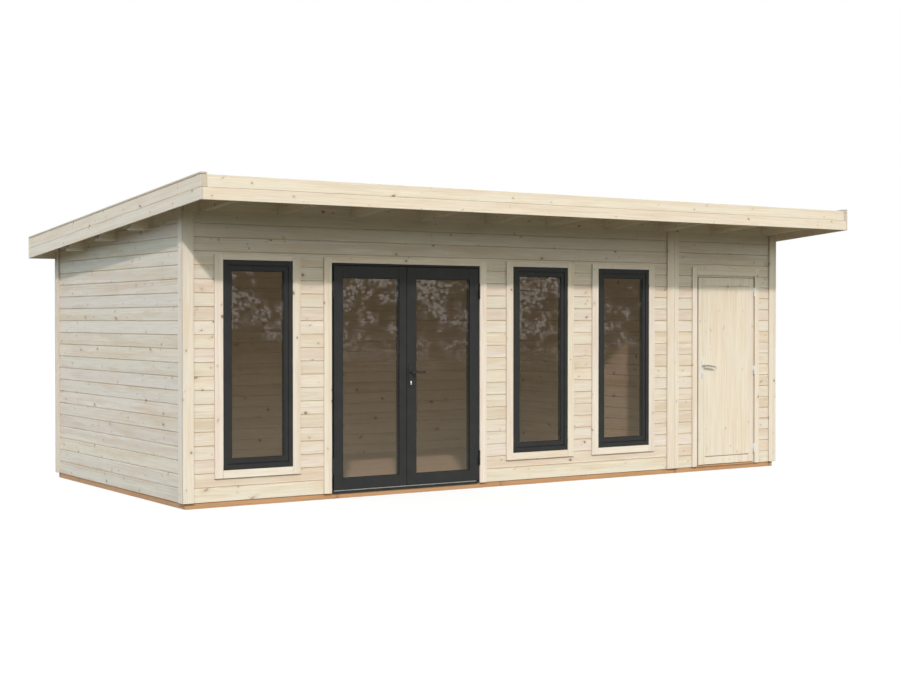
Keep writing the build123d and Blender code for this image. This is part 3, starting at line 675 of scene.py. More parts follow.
def slice_between(source: bmesh.types.BMesh, axis: Axis, low: float, high: float) -> bmesh.types.BMesh:
    """The part of a solid between two planes, closed again.

    Args:
        source: The solid.
        axis: The axis that the planes cross.
        low: Where the part starts.
        high: Where it ends.

    Returns:
        The part, which is empty where the solid has nothing there.
    """
    part = source.copy()
    for place, below in ((low, True), (high, False)):
        geometry = part.verts[:] + part.edges[:] + part.faces[:]
        bmesh.ops.bisect_plane(part, geom=geometry, dist=ON_PLANE, plane_co=axis.vector * place,
                               plane_no=axis.vector, clear_inner=below, clear_outer=not below)
        open_edges = [e for e in part.edges if e.is_boundary]
        if open_edges:
            bmesh.ops.holes_fill(part, edges=open_edges, sides=0)
    flatten(part)
    return part


def ease_joint(board: bmesh.types.BMesh, axis: Axis, ends: tuple[float | None, float | None],
               faces: Iterable[Vector], joint: Joint) -> None:
    """Shape a board's edges where it meets its neighbours.

    Args:
        board: The board, which is changed.
        axis: The axis across the joints.
        ends: The places of the lower and upper joint, or None where there is none.
        faces: The directions of the faces that show the joint.
        joint: The joint's shape.
    """
    profiles = (joint.steps, joint.under or joint.steps)
    for end, inward, steps in zip(ends, (1.0, -1.0), profiles):
        for distance, _ in steps:
            if end is not None and distance > 0:
                geometry = board.verts[:] + board.edges[:] + board.faces[:]
                bmesh.ops.bisect_plane(board, geom=geometry, dist=ON_PLANE, plane_no=axis.vector,
                                       plane_co=axis.vector * (end + inward * distance))
    # Each corner in a groove carries the painted shade of its step.
    groove = board.verts.layers.float.new("groove")
    board.normal_update()
    for direction in faces:
        shown = {v for f in board.faces if f.normal.dot(direction) > 0.9 for v in f.verts}
        for vertex in shown:
            for end, steps in zip(ends, profiles):
                away = abs(vertex.co[axis.value] - end) if end is not None else BEYOND
                for (distance, depth), painted_shade in zip(steps, joint.painted_shade):
                    if abs(away - distance) < ON_LINE:
                        vertex.co -= direction * depth
                        vertex[groove] = painted_shade


def cut_boards(node: str, axis: Axis, places: Sequence[float], faces: Sequence[Vector],
               joint: Joint) -> Iterator[tuple[bmesh.types.BMesh, float | None, float | None]]:
    """Cut a node into boards and shape their joints.

    Args:
        node: The CAD node.
        axis: The axis across the joints.
        places: Where the joints are, in order.
        faces: The directions of the faces that show them.
        joint: The joints' shape.

    Yields:
        Each board with the places of its lower and upper joint, or None where there is none.
    """
    low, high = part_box(node)
    solid = solid_of(node)
    for start, end in zip([None, *places], [*places, None]):
        board = slice_between(solid, axis, start or low[axis.value] - BEYOND, end or high[axis.value] + BEYOND)
        ease_joint(board, axis, (start, end), faces, joint)
        yield board, start, end
    solid.free()


def bevel_edges(board: bmesh.types.BMesh, width: float, segments: int = 2) -> None:
    """Ease the sharp edges of a board.

    Args:
        board: The board, which is changed.
        width: The width of the easing.
        segments: Its facets.
    """
    board.normal_update()
    sharp = [e for e in board.edges if e.is_manifold and e.calc_face_angle(0.0) > SHARP]
    bmesh.ops.bevel(board, geom=sharp, offset=width, segments=segments, affect="EDGES",
                    profile=0.5, clamp_overlap=True)


def islands(mesh: bmesh.types.BMesh) -> list[list[bmesh.types.BMVert]]:
    """The separate pieces of a mesh.

    Args:
        mesh: The mesh.

    Returns:
        The corners of each piece.
    """
    left = set(mesh.verts)
    found = []
    for seed in mesh.verts:
        if seed not in left:
            continue
        left.discard(seed)
        piece, edge = [seed], [seed]
        while edge:
            grown = [e.other_vert(v) for v in edge for e in v.link_edges]
            edge = []
            for vertex in grown:
                if vertex in left:
                    left.discard(vertex)
                    edge.append(vertex)
            piece += edge
        found.append(piece)
    return found


@dataclass
class BoardStack:
    """Collects finished boards in one mesh, each with its own grain and tone."""

    name: str
    slope: float = 0.0
    corners: list[Vector] = field(default_factory=list)
    faces: list[list[int]] = field(default_factory=list)
    grain: list[float] = field(default_factory=list)
    tones: list[float] = field(default_factory=list)
    grooves: list[float] = field(default_factory=list)
    sides: list[float] = field(default_factory=list)

    def add(self, mesh: bmesh.types.BMesh, seed: str = "", along: Axis | None = None,
            across_from: float | None = None) -> None:
        """Add a mesh of one or more boards.

        Args:
            mesh: The boards; the mesh is freed.
            seed: What all its pieces take their grain from, as one board; empty for one each.
            along: The axis of the grain, or None for each board's longest side.
            across_from: Where the grain is set out from across the board, or None for its middle.
        """
        mesh.normal_update()
        mesh.faces.index_update()
        groove = mesh.verts.layers.float.get("groove")
        for number, piece in enumerate(islands(mesh)):
            draw = random.Random(seed or f"{self.name}-{len(self.corners)}-{number}")
            places = [Vector((v.co.x, v.co.y, v.co.z + self.slope * v.co.y)) for v in piece]
            low = [min(p[i] for p in places) for i in range(3)]
            size = [max(p[i] for p in places) - low[i] for i in range(3)]
            order = sorted(range(3), key=lambda i: -size[i])
            if along is not None:
                order = [along.value] + [i for i in order if i != along.value]
            middle = low[order[1]] + size[order[1]] / 2 if across_from is None else across_from
            start = (0.0, middle, low[order[2]])
            shift = (draw.uniform(0, 60), draw.uniform(-0.05, 0.05), draw.uniform(0.04, 0.12))
            tone = draw.random()
            numbers = {}
            for vertex, place in zip(piece, places):
                numbers[vertex] = len(self.corners)
                self.corners.append(vertex.co.copy())
                self.grain += [place[order[i]] - start[i] + shift[i] for i in range(3)]
                self.tones.append(tone)
                self.grooves.append(vertex[groove] if groove else 0.0)
            mine = {f for v in piece for f in v.link_faces}
            for face in sorted(mine, key=lambda f: f.index):
                self.faces.append([numbers[v] for v in face.verts])
                # Edges and ends of each board are marked; the wood darkens them, partly their own tone and
                # partly painted shade.
                self.sides.append(1.0 if abs(face.normal[order[2]]) < 0.5 else 0.0)
        mesh.free()

    def place(self, body: str, slot: Slot, finish: Finish, *nodes: str) -> bpy.types.Object:
        """Make the piece and put it on its body.

        Args:
            body: The body that it rides on.
            slot: The record's slot of its finish.
            finish: Its finish.
            *nodes: The CAD nodes that it stands for.

        Returns:
            The piece.
        """
        mesh = bpy.data.meshes.new(self.name)
        mesh.from_pydata(self.corners, [], self.faces)
        mesh.attributes.new("grain", "FLOAT_VECTOR", "POINT").data.foreach_set("vector", self.grain)
        mesh.attributes.new("board", "FLOAT", "POINT").data.foreach_set("value", self.tones)
        mesh.attributes.new("groove", "FLOAT", "POINT").data.foreach_set("value", self.grooves)
        mesh.attributes.new("side", "FLOAT", "FACE").data.foreach_set("value", self.sides)
        return place_piece(self.name, mesh, body, slot, finish, *nodes)


def place_piece(name: str, mesh: bpy.types.Mesh, body: str, slot: Slot, finish: Finish,
                *nodes: str) -> bpy.types.Object:
    """Make an object of a mesh, dress it and put it on its body.

    Args:
        name: The piece's name.
        mesh: Its mesh, in the house frame.
        body: The body that it rides on.
        slot: The record's slot of its finish; not used.
        finish: Its finish.
        *nodes: The CAD nodes that it stands for.

    Returns:
        The piece.
    """
    piece = bpy.data.objects.new(name, mesh)
    bpy.context.scene.collection.objects.link(piece)
    mesh.materials.append(finish.material())
    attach(piece, body)
    if nodes:
        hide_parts(*nodes)
    log.info("%s: %d faces on %s", name, len(mesh.polygons), body)
    return piece


def dress_node(node: str, finish: Finish) -> None:
    """Give a CAD node that stays in view its finish.

    Args:
        node: The node's name.
        finish: Its finish.
    """
    target = frame["nodes"][node]
    target.data.materials.clear()
    target.data.materials.append(finish.material())
    log.info("%s: dressed as %s", node, finish.name)


def body_of_node(node: str) -> str:
    """The body that a CAD node belongs to."""
    return frame["nodes"][node]["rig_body"]


def boards_from(node: str, slot: Slot, finish: Finish, ease: float = FRAME_EASE, slope: float = 0.0,
                cuts: Sequence[float] = ()) -> bpy.types.Object:
    """Turn a node into boards with eased edges.

    Args:
        node: The CAD node.
        slot: The record's slot of the finish.
        finish: The finish.
        ease: The width of the easing.
        slope: The fall of the roof, where the boards follow it.
        cuts: Places along the front where its members part.

    Returns:
        The piece, which stands for the node.
    """
    stack = BoardStack(node + "_timber", slope)
    solid = solid_of(node)
    low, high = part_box(node)
    places = [low.x - BEYOND, *sorted(cuts), high.x + BEYOND]
    for start, end in zip(places, places[1:]):
        part = slice_between(solid, Axis.ALONG, start, end)
        bevel_edges(part, ease)
        stack.add(part)
    solid.free()
    return stack.place(body_of_node(node), slot, finish, node)


# Frames, rails and rings

def loft(mesh: bmesh.types.BMesh, rows: Sequence[Sequence[bmesh.types.BMVert]]) -> None:
    """Join rings of corners with faces, and close both ends.

    Args:
        mesh: Where the corners are.
        rows: The rings, each with the same number of corners.
    """
    count = len(rows[0])
    for lower, upper in zip(rows, rows[1:]):
        for i in range(count):
            j = (i + 1) % count
            mesh.faces.new((lower[i], lower[j], upper[j], upper[i]))
    mesh.faces.new(rows[0][::-1])
    mesh.faces.new(rows[-1])


def mitred_frame(stack: BoardStack, low: Vector, high: Vector, profile: Sequence[tuple[float, float]]) -> None:
    """Add a frame of four mitred members.

    Args:
        stack: Where the members go.
        low: The lower left outer corner; its depth is where the profile's depth starts.
        high: The upper right outer corner.
        profile: The members' section, as (inset from the outer edge, depth) points.
    """
    corners = ((low.x, low.z, 1, 1), (high.x, low.z, -1, 1), (high.x, high.z, -1, -1), (low.x, high.z, 1, -1))
    for number in range(4):
        mesh = bmesh.new()
        rows = []
        for x, z, inward_x, inward_z in (corners[number], corners[(number + 1) % 4]):
            rows.append([mesh.verts.new((x + inward_x * inset, low.y + depth, z + inward_z * inset))
                         for inset, depth in profile])
        loft(mesh, rows)
        bmesh.ops.recalc_face_normals(mesh, faces=mesh.faces[:])
        stack.add(mesh)


def rail(stack: BoardStack, start: float, end: float, section: Sequence[tuple[float, float]]) -> None:
    """Add a straight member that runs along the front.

    Args:
        stack: Where it goes.
        start: Where it starts along the front.
        end: Where it ends.
        section: Its section, as (depth, height) points.
    """
    mesh = bmesh.new()
    loft(mesh, [[mesh.verts.new((x, depth, height)) for depth, height in section] for x in (start, end)])
    bmesh.ops.recalc_face_normals(mesh, faces=mesh.faces[:])
    stack.add(mesh)


def glazing_rubber(name: str, body: str, panes: Iterable[tuple[Vector, Vector]], bite: float) -> None:
    """Make the rubber seals that show round the glass, outside and inside.

    Args:
        name: The piece's name.
        body: The body that it rides on.
        panes: The lowest and highest corner of each glazing unit.
        bite: How far the frame covers the glass.
    """
    width, stand, foot = 6.5 * MM, 3.0 * MM, 1.0 * MM
    stack = BoardStack(name)
    for low, high in panes:
        for depth, out in ((low.y, -1.0), (high.y, 1.0)):
            outer_low = Vector((low.x + bite, depth, low.z + bite))
            outer_high = Vector((high.x - bite, depth, high.z - bite))
            section = ((0.0, 0.0), (width, 0.0), (width, out * foot), (0.6 * width, out * stand),
                       (0.0, out * stand))
            mitred_frame(stack, outer_low, outer_high, section)
    stack.place(body, Slot.BLACK_METAL, RUBBER)


def pane_boxes(node: str) -> list[tuple[Vector, Vector]]:
    """The boxes of the glazing units in a glass node.

    Args:
        node: The node's name.

    Returns:
        The lowest and highest corner of each unit, from left to right.
    """
    solid = solid_of(node)
    boxes: list[tuple[Vector, Vector]] = []
    for piece in islands(solid):
        low = Vector([min(v.co[i] for v in piece) for i in range(3)])
        high = Vector([max(v.co[i] for v in piece) for i in range(3)])
        for number, (other_low, other_high) in enumerate(boxes):
            if abs(other_low.x - low.x) < MM:
                boxes[number] = (Vector(map(min, other_low, low)), Vector(map(max, other_high, high)))
                break
        else:
            boxes.append((low, high))
    solid.free()
    return sorted(boxes, key=lambda pair: pair[0].x)


def turned_head(mesh: bmesh.types.BMesh, spot: Vector, facing: float, radius: float, sides: int = 16) -> None:
    """Add the domed head of a screw with a cross recess.

    Args:
        mesh: Where it goes.
        spot: The middle of its seat.
        facing: -1 where it looks to the front, 1 to the back.
        radius: Its radius.
        sides: Its facets, a multiple of four.
    """
    def ring_point(step: int, reach: float, out: float) -> bmesh.types.BMVert:
        """A corner at a step of the turn, with its reach and height in shares of the radius.

        Args:
            step: The step of the turn.
            reach: How far it is from the screw's axis.
            out: How far it stands out.

        Returns:
            The corner.
        """
        angle = math.tau * step / sides
        turned = Vector((reach * math.cos(angle), facing * out, reach * math.sin(angle)))
        return mesh.verts.new(spot + radius * turned)

    rim, shoulder = [], []
    for step in range(sides):
        rim.append(ring_point(step, 1.0, 0.0))
        shoulder.append(ring_point(step, 0.72, 0.22))
    inner = [ring_point(step, *((0.5, 0.24) if step % 4 == 0 else (0.16, 0.28))) for step in range(sides)]
    middle = ring_point(0, 0.0, -0.1)
    for i in range(sides):
        j = (i + 1) % sides
        mesh.faces.new((rim[i], rim[j], shoulder[j], shoulder[i]))
        mesh.faces.new((shoulder[i], shoulder[j], inner[j], inner[i]))
        mesh.faces.new((inner[i], inner[j], middle))
    mesh.faces.new(rim[::-1])


@dataclass
class LockFurniture:
    """Profile cylinder, key slot and screws on the two faces of a pair of back plates."""

    plates: str
    body: str
    finish: Finish
    cylinder_drop: float = 64 * MM
    head_radius: float = 8.7 * MM
    web: float = 5.1 * MM
    length: float = 33 * MM
    stand: float = 3.0 * MM
    sunk: float = 0.5 * MM
    screw_inset: float = 11 * MM
    screw_radius: float = 3.6 * MM
    key_way: tuple[tuple[float, float], ...] = (
        (-0.5, 3.6), (0.5, 3.6), (0.5, 1.2), (1.1, 0.6), (1.1, -0.6), (0.5, -1.2),
        (0.5, -3.6), (-0.5, -3.6), (-0.5, -1.2), (-1.1, -0.6), (-1.1, 0.6), (-0.5, 1.2))
    key_way_stand: float = 0.15 * MM
    key_way_depth: float = 0.6 * MM

    def outline(self, head_steps: int = 24, foot_steps: int = 12) -> list[tuple[float, float]]:
        """The cylinder's outline: a round head over a straight web with a round foot.

        Args:
            head_steps: The facets of the head.
            foot_steps: The facets of the foot.

        Returns:
            Its points, from the head's middle.
        """
        turn = math.asin(self.web / self.head_radius)
        foot = self.head_radius - self.length + self.web
        points = []
        for step in range(head_steps + 1):
            angle = -math.pi / 2 + turn + (math.tau - 2 * turn) * step / head_steps
            points.append((self.head_radius * math.cos(angle), self.head_radius * math.sin(angle)))
        for step in range(foot_steps + 1):
            angle = math.pi + math.pi * step / foot_steps
            points.append((self.web * math.cos(angle), foot + self.web * math.sin(angle)))
        return points

    def build(self) -> None:
        """Build the pieces on both faces."""
        low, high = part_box(self.plates)
        x, z = (low.x + high.x) / 2, (low.z + high.z) / 2
        cylinders, slots, screws = BoardStack(self.body + "_lock_cylinders"), bmesh.new(), bmesh.new()
        barrel = bmesh.new()
        for face, facing in ((low.y, -1.0), (high.y, 1.0)):
            spot = Vector((x, face, z - self.cylinder_drop + self.length / 4))
            rows = []
            for inset, out in ((1.0, -self.sunk), (1.0, self.stand - self.sunk), (0.93, self.stand)):
                rows.append([barrel.verts.new((spot.x + inset * px, spot.y + facing * out, spot.z + inset * pz))
                             for px, pz in self.outline()])
            loft(barrel, rows)
            self.add_slot(slots, spot + Vector((0, facing * (self.stand + self.key_way_stand), 0)), facing)
            for height in (high.z - self.screw_inset, low.z + self.screw_inset):
                turned_head(screws, Vector((x, face, height)), facing, self.screw_radius)
        for mesh in (barrel, slots, screws):
            bmesh.ops.recalc_face_normals(mesh, faces=mesh.faces[:])
        cylinders.add(barrel)
        cylinders.place(self.body, Slot.STEEL, STEEL)
        for name, mesh, slot, finish in (("_key_slots", slots, Slot.BLACK_METAL, RUBBER),
                                         ("_plate_screws", screws, Slot.STEEL, self.finish)):
            stack = BoardStack(self.body + name)
            stack.add(mesh)
            stack.place(self.body, slot, finish)

    def add_slot(self, mesh: bmesh.types.BMesh, spot: Vector, facing: float) -> None:
        """Add the dark opening of the key way: a narrow slit with a wider waist.

        Args:
            mesh: Where it goes.
            spot: Its middle.
            facing: -1 where it looks to the front, 1 to the back.
        """
        front = [mesh.verts.new((spot.x + px * MM, spot.y, spot.z + pz * MM)) for px, pz in self.key_way]
        back = [mesh.verts.new((v.co.x, v.co.y - facing * self.key_way_depth, v.co.z)) for v in front]
        loft(mesh, (back, front))


# The house

@dataclass
class PlankWalls:
    """Walls of interlocking planks with a shallow V at every joint."""

    first_joint: float = 0.1651
    cover: float = 0.114
    least_plank: float = 8 * MM
    facing: Mapping[str, Axis] = field(default_factory=lambda: {
        "front_wall_left": Axis.BACK,
        "front_wall_over_double_door": Axis.BACK,
        "front_wall_middle": Axis.BACK,
        "front_wall_over_store_door": Axis.BACK,
        "front_wall_right": Axis.BACK,
        "back_wall": Axis.BACK,
        "left_wall": Axis.ALONG,
        "right_wall": Axis.ALONG,
        "partition_wall": Axis.ALONG,
    })

    def joints(self, low: float, high: float) -> list[float]:
        """The heights of a wall's plank joints.

        Args:
            low: Where the wall starts.
            high: Where it ends.

        Returns:
            The heights, lowest first.
        """
        count = math.ceil((high - self.first_joint) / self.cover)
        heights = [self.first_joint + self.cover * i for i in range(count)]
        return [z for z in heights if low + self.least_plank < z < high - self.least_plank]

    def build(self) -> None:
        """Cut each wall into its planks."""
        for node, facing in self.facing.items():
            low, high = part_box(node)
            course_name = "front_wall" if node.startswith("front") else node
            along = Axis.ALONG if facing is Axis.BACK else Axis.BACK
            stack = BoardStack(node + "_planks")
            heights = self.joints(low.z, high.z)
            sides = (facing.vector, -facing.vector)
            for plank, start, end in cut_boards(node, Axis.UP, heights, sides, WALL_JOINT):
                course = round(((start or 0.0) - self.first_joint) / self.cover)
                self.lay(stack, plank, f"{course_name}-{course}", along, start or end or 0.0)
            stack.place("house", Slot.SPRUCE, WALL_WOOD, node)

    def lay(self, stack: BoardStack, plank: bmesh.types.BMesh, seed: str, along: Axis, height: float) -> None:
        """Add a plank whose grain runs on through every piece of its course.

        Args:
            stack: Where it goes.
            plank: The plank.
            seed: The course's own name.
            along: The axis of the wall.
            height: The height that its grain is set out from.
        """
        draw = random.Random(seed)
        shift = Vector((draw.uniform(0, 60), draw.uniform(-0.11, -0.01), draw.uniform(0.04, 0.12)))
        tone = draw.random()
        across = 1 - along.value
        groove = plank.verts.layers.float.get("groove")
        base = len(stack.corners)
        plank.verts.index_update()
        for vertex in plank.verts:
            place = Vector((vertex.co[along.value], vertex.co.z - height, vertex.co[across] % 0.5))
            stack.corners.append(vertex.co.copy())
            stack.grain += list(place + shift)
            stack.tones.append(tone)
            stack.grooves.append(vertex[groove] if groove else 0.0)
        stack.sides += [0.0] * len(plank.faces)
        stack.faces += [[base + v.index for v in f.verts] for f in plank.faces]
        plank.free()


@dataclass
class Base:
    """Impregnated beams on the ground, and the floor on its joists."""

    floor_board: float = 0.113
    ease: float = 2.5 * MM
    beams: tuple[str, ...] = ("base_front_beam", "base_back_beam", "base_end_beams", "floor_joists",
                              "store_door_threshold")

    def build(self) -> None:
        """Build the beams and cut the floor into boards."""
        for node in self.beams:
            boards_from(node, Slot.IMPREGNATED, BASE_WOOD, self.ease)
        low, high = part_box("floor_boards")
        stack = BoardStack("floor_board_courses")
        count = int((high.y - low.y) / self.floor_board)
        places = [low.y + self.floor_board * (i + 1) for i in range(count)]
        for board, _, _ in cut_boards("floor_boards", Axis.BACK, places, (Axis.UP.vector,), FLOOR_JOINT):
            stack.add(board, along=Axis.ALONG)
        stack.place("house", Slot.SPRUCE_BOARDS, DOOR_WOOD, "floor_boards")


@dataclass
class Trim:
    """Corner boards, cover boards and the casings round the openings."""

    ease: float = 2.0 * MM
    nodes: tuple[str, ...] = ("front_left_corner_trim", "front_right_corner_trim", "back_left_corner_trim",
                              "back_right_corner_trim", "partition_cover_boards", "window_casings",
                              "double_door_casing", "store_door_casing", "eaves_blocks")

    def build(self) -> None:
        """Ease the edges of every board."""
        for node in self.nodes:
            boards_from(node, Slot.SPRUCE_BOARDS, TRIM_WOOD, self.ease)


@dataclass
class Windows:
    """Fixed windows: painted frame, chamfered sash, double glazing, its seals and the weather strips."""

    sash_face: float = 38 * MM
    sash_depth: float = 48 * MM
    chamfer: float = 1.5 * MM
    glass_setback: float = 10 * MM
    glass_unit: float = 16 * MM
    bite: float = 12 * MM
    head_gap: float = 9 * MM
    foot_gap: float = 11 * MM
    head_sink: float = 2 * MM
    foot_sink: float = 6 * MM
    strip_depth: float = 8 * MM
    strip_step: float = 1.5 * MM
    strip_end: float = 1 * MM
    ease: float = 1.2 * MM

    def build(self) -> None:
        """Build all three windows."""
        dress_node("window_glass", WINDOW_GLASS)
        units = pane_boxes("window_glass")
        cover = self.sash_face - self.bite
        cuts = []
        sashes = BoardStack("window_sash_frames")
        strips = BoardStack("window_weather_strips")
        for low, high in units:
            outer_low = Vector((low.x - cover, low.y - self.glass_setback, low.z - cover))
            outer_high = Vector((high.x + cover, high.y, high.z + cover))
            mitred_frame(sashes, outer_low, outer_high, self.sash_section())
            cuts += [outer_low.x, outer_high.x]
            for edge, gap, sink in ((outer_high.z, self.head_gap, self.head_sink),
                                    (outer_low.z, -self.foot_gap, self.foot_sink)):
                section = self.strip_section(outer_low.y + sink, edge, gap)
                rail(strips, outer_low.x + self.strip_end, outer_high.x - self.strip_end, section)
        sashes.place("house", Slot.ANTHRACITE, DARK_PAINT, "window_sashes")
        strips.place("house", Slot.ANTHRACITE, DARK_PAINT)
        boards_from("window_frames", Slot.ANTHRACITE, DARK_PAINT, cuts=self.frame_cuts(cuts))
        glazing_rubber("window_seals", "house", units, self.bite)

    def sash_section(self) -> list[tuple[float, float]]:
        """The sash's section: chamfered towards the glass, with a groove for the unit.

        Returns:
            Its (inset from the outer edge, depth) points.
        """
        back = self.glass_setback + self.glass_unit
        inner = self.sash_face
        groove = inner - self.bite
        return [(0.0, self.ease), (self.ease, 0.0), (inner - self.chamfer, 0.0), (inner, self.chamfer),
                (inner, self.glass_setback), (groove, self.glass_setback), (groove, back), (inner, back),
                (inner, self.sash_depth), (0.0, self.sash_depth)]

    def strip_section(self, front: float, edge: float, gap: float) -> list[tuple[float, float]]:
        """The section of a weather strip between sash and frame, with an eased nose.

        Args:
            front: The depth of its front.
            edge: The height of the sash's edge.
            gap: How far the frame is above the edge, or below it where that is negative.

        Returns:
            Its (depth, height) points.
        """
        back, step = front + self.strip_depth, front + self.strip_step
        foot, nose, shoulder = (edge + gap * share for share in (0.12, 0.45, 0.55))
        return [(front + self.ease, edge), (front, foot), (front, nose), (step, shoulder),
                (step, edge + gap), (back, edge + gap), (back, edge)]

    def frame_cuts(self, sash_edges: Sequence[float]) -> list[float]:
        """Where the members of the frames part.

        Args:
            sash_edges: The left and right edges of the sashes.

        Returns:
            Those edges, with a place between each window and the next.
        """
        ordered = sorted(sash_edges)
        gaps = [(a + b) / 2 for a, b in zip(ordered[1::2], ordered[2::2])]
        return sorted(ordered + gaps)


@dataclass
class DoubleDoor:
    """Two glazed leaves in a painted frame over a dark sill with a bright strip."""

    bite: float = 12 * MM
    leaf_ease: float = 2.0 * MM

    def build(self) -> None:
        """Build frame, sill, leaves, glass and fittings."""
        low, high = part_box("double_door_threshold")
        boards_from("double_door_frame", Slot.ANTHRACITE, DARK_PAINT, cuts=(low.x, high.x))
        boards_from("double_door_threshold", Slot.ANTHRACITE, DARK_PAINT)
        dress_node("double_door_threshold_strip", ALUMINIUM)
        for side in ("left", "right"):
            self.build_leaf(side + "_leaf", side + "_door")
        for node in ("double_door_frame_hinges", "left_leaf_hinges", "right_leaf_hinges",
                     "right_leaf_lock_plates"):
            dress_node(node, BLACK_METAL)
        dress_node("right_leaf_lever", BROWN_METAL)
        LockFurniture("right_leaf_lock_plates", "right_door", BLACK_METAL).build()

    def build_leaf(self, leaf: str, body: str) -> None:
        """Build one leaf: stiles and rails, the glass and its seals.

        Args:
            leaf: The leaf's node.
            body: The body that it swings with.
        """
        glass = leaf + "_glass"
        dress_node(glass, WINDOW_GLASS)
        units = pane_boxes(glass)
        low, high = units[0]
        cuts = (low.x + self.bite, high.x - self.bite)
        boards_from(leaf, Slot.ANTHRACITE, DARK_PAINT, self.leaf_ease, cuts=cuts)
        glazing_rubber(leaf + "_seals", body, units, self.bite)


@dataclass
class StoreDoor:
    """The framed board door of the store room."""

    boards: int = 6
    leaf_ease: float = 1.2 * MM

    def build(self) -> None:
        """Build frame, leaf, board panel and fittings."""
        low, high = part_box("store_door_threshold")
        boards_from("store_door_frame", Slot.SPRUCE_BOARDS, TRIM_WOOD, cuts=(low.x, high.x))
        low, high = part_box("store_door_panel")
        boards_from("store_door_leaf", Slot.SPRUCE_BOARDS, DOOR_WOOD, self.leaf_ease, cuts=(low.x, high.x))
        stack = BoardStack("store_door_boards")
        pitch = (high.x - low.x) / self.boards
        places = [low.x + pitch * i for i in range(1, self.boards)]
        sides = (-Axis.BACK.vector, Axis.BACK.vector)
        for board, _, _ in cut_boards("store_door_panel", Axis.ALONG, places, sides, PANEL_JOINT):
            stack.add(board, "store_door", Axis.UP, low.x)
        stack.place("store_door", Slot.SPRUCE_BOARDS, DOOR_WOOD, "store_door_panel")
        for node in ("store_door_frame_hinges", "store_door_leaf_hinges", "store_door_lock_plates"):
            dress_node(node, STEEL)
        dress_node("store_door_lever", NICKEL)
        LockFurniture("store_door_lock_plates", "store_door", NICKEL).build()


@dataclass
class Roof:
    """Purlins, joists, boards, felt, fascias and caps of the pent roof."""

    board: float = 0.094
    timbers: tuple[str, ...] = ("roof_purlins", "overhang_joists", "front_edge_rail")
    trims: tuple[str, ...] = ("verge_battens", "front_fascia", "back_fascia", "left_fascia", "right_fascia",
                              "verge_caps")
    timber_ease: float = 2.0 * MM
    trim_ease: float = 3.2 * MM
    least_board: float = 5 * MM
    roll: float = 0.92
    lap: float = 0.08
    lap_slope: float = 12 * MM
    felt: float = 3 * MM
    felt_columns: int = 24
    least_roll: float = 0.01

    def fall(self) -> float:
        """The slope of the roof deck.

        Returns:
            The height lost over depth.
        """
        spots = [v.co for v in frame["nodes"]["roof_deck"].data.vertices]
        front = min(spots, key=lambda p: (round(p.y, 4), -p.z))
        back = max(spots, key=lambda p: (round(p.y, 4), p.z))
        return (front.z - back.z) / (back.y - front.y)

    def build(self) -> None:
        """Build the roof from the timbers up."""
        fall = self.fall()
        for node in self.timbers:
            boards_from(node, Slot.SPRUCE, WALL_WOOD, self.timber_ease, fall)
        for node in self.trims:
            boards_from(node, Slot.SPRUCE_BOARDS, TRIM_WOOD, self.trim_ease, fall)
        self.build_deck(fall)
        self.build_felt(fall)

    def build_deck(self, fall: float) -> None:
        """Cut the deck into boards that run from front to back.

        Args:
            fall: The roof's fall.
        """
        low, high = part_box("roof_deck")
        stack = BoardStack("roof_deck_boards", fall)
        down = Vector((0.0, -fall, -1.0)).normalized()
        count = int((high.x - low.x) / self.board)
        start_at = (high.x + low.x - count * self.board) / 2
        places = [start_at + self.board * i for i in range(count + 1)]
        places = [x for x in places if low.x + self.least_board < x < high.x - self.least_board]
        for board, _, _ in cut_boards("roof_deck", Axis.ALONG, places, (down,), ROOF_JOINT):
            stack.add(board, along=Axis.BACK)
        stack.place("house", Slot.SPRUCE_BOARDS, TRIM_WOOD, "roof_deck")

    def build_felt(self, fall: float) -> None:
        """Lay the felt in rolls along the roof, each lapped over the one below it.

        Args:
            fall: The roof's fall.
        """
        low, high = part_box("roofing_felt")
        stack = BoardStack("roofing_felt_rolls", fall)
        columns = self.felt_columns
        y = high.y
        while y > low.y + self.least_roll:
            front = max(low.y, y - self.roll)
            lapped = y < high.y
            lift = self.felt if lapped else 0.0
            start = y + self.lap if lapped else y
            places = ((start, lift), (y, lift), (y - self.lap_slope, 0.0), (front, 0.0))
            mesh = bmesh.new()
            rows = []
            for depth, rise in places:
                z = high.z - fall * (depth - low.y)
                rows.append([(low.x + (high.x - low.x) * i / columns, depth, z + rise)
                             for i in range(columns + 1)])
            top = [[mesh.verts.new(p) for p in row] for row in rows]
            under = [[mesh.verts.new((p[0], p[1], p[2] - self.felt)) for p in row] for row in rows]
            for r in range(len(rows) - 1):
                for c in range(columns):
                    mesh.faces.new((top[r][c], top[r][c + 1], top[r + 1][c + 1], top[r + 1][c]))
                    mesh.faces.new((under[r][c], under[r + 1][c], under[r + 1][c + 1], under[r][c + 1]))
            for r in (0, len(rows) - 1):
                for c in range(columns):
                    mesh.faces.new((top[r][c], top[r][c + 1], under[r][c + 1], under[r][c]))
            for c in (0, columns):
                for r in range(len(rows) - 1):
                    mesh.faces.new((top[r][c], top[r + 1][c], under[r + 1][c], under[r][c]))
            bmesh.ops.recalc_face_normals(mesh, faces=mesh.faces[:])
            stack.add(mesh)
            y = front
        stack.place("house", Slot.FELT, ROOF_FELT, "roofing_felt")


# The studio

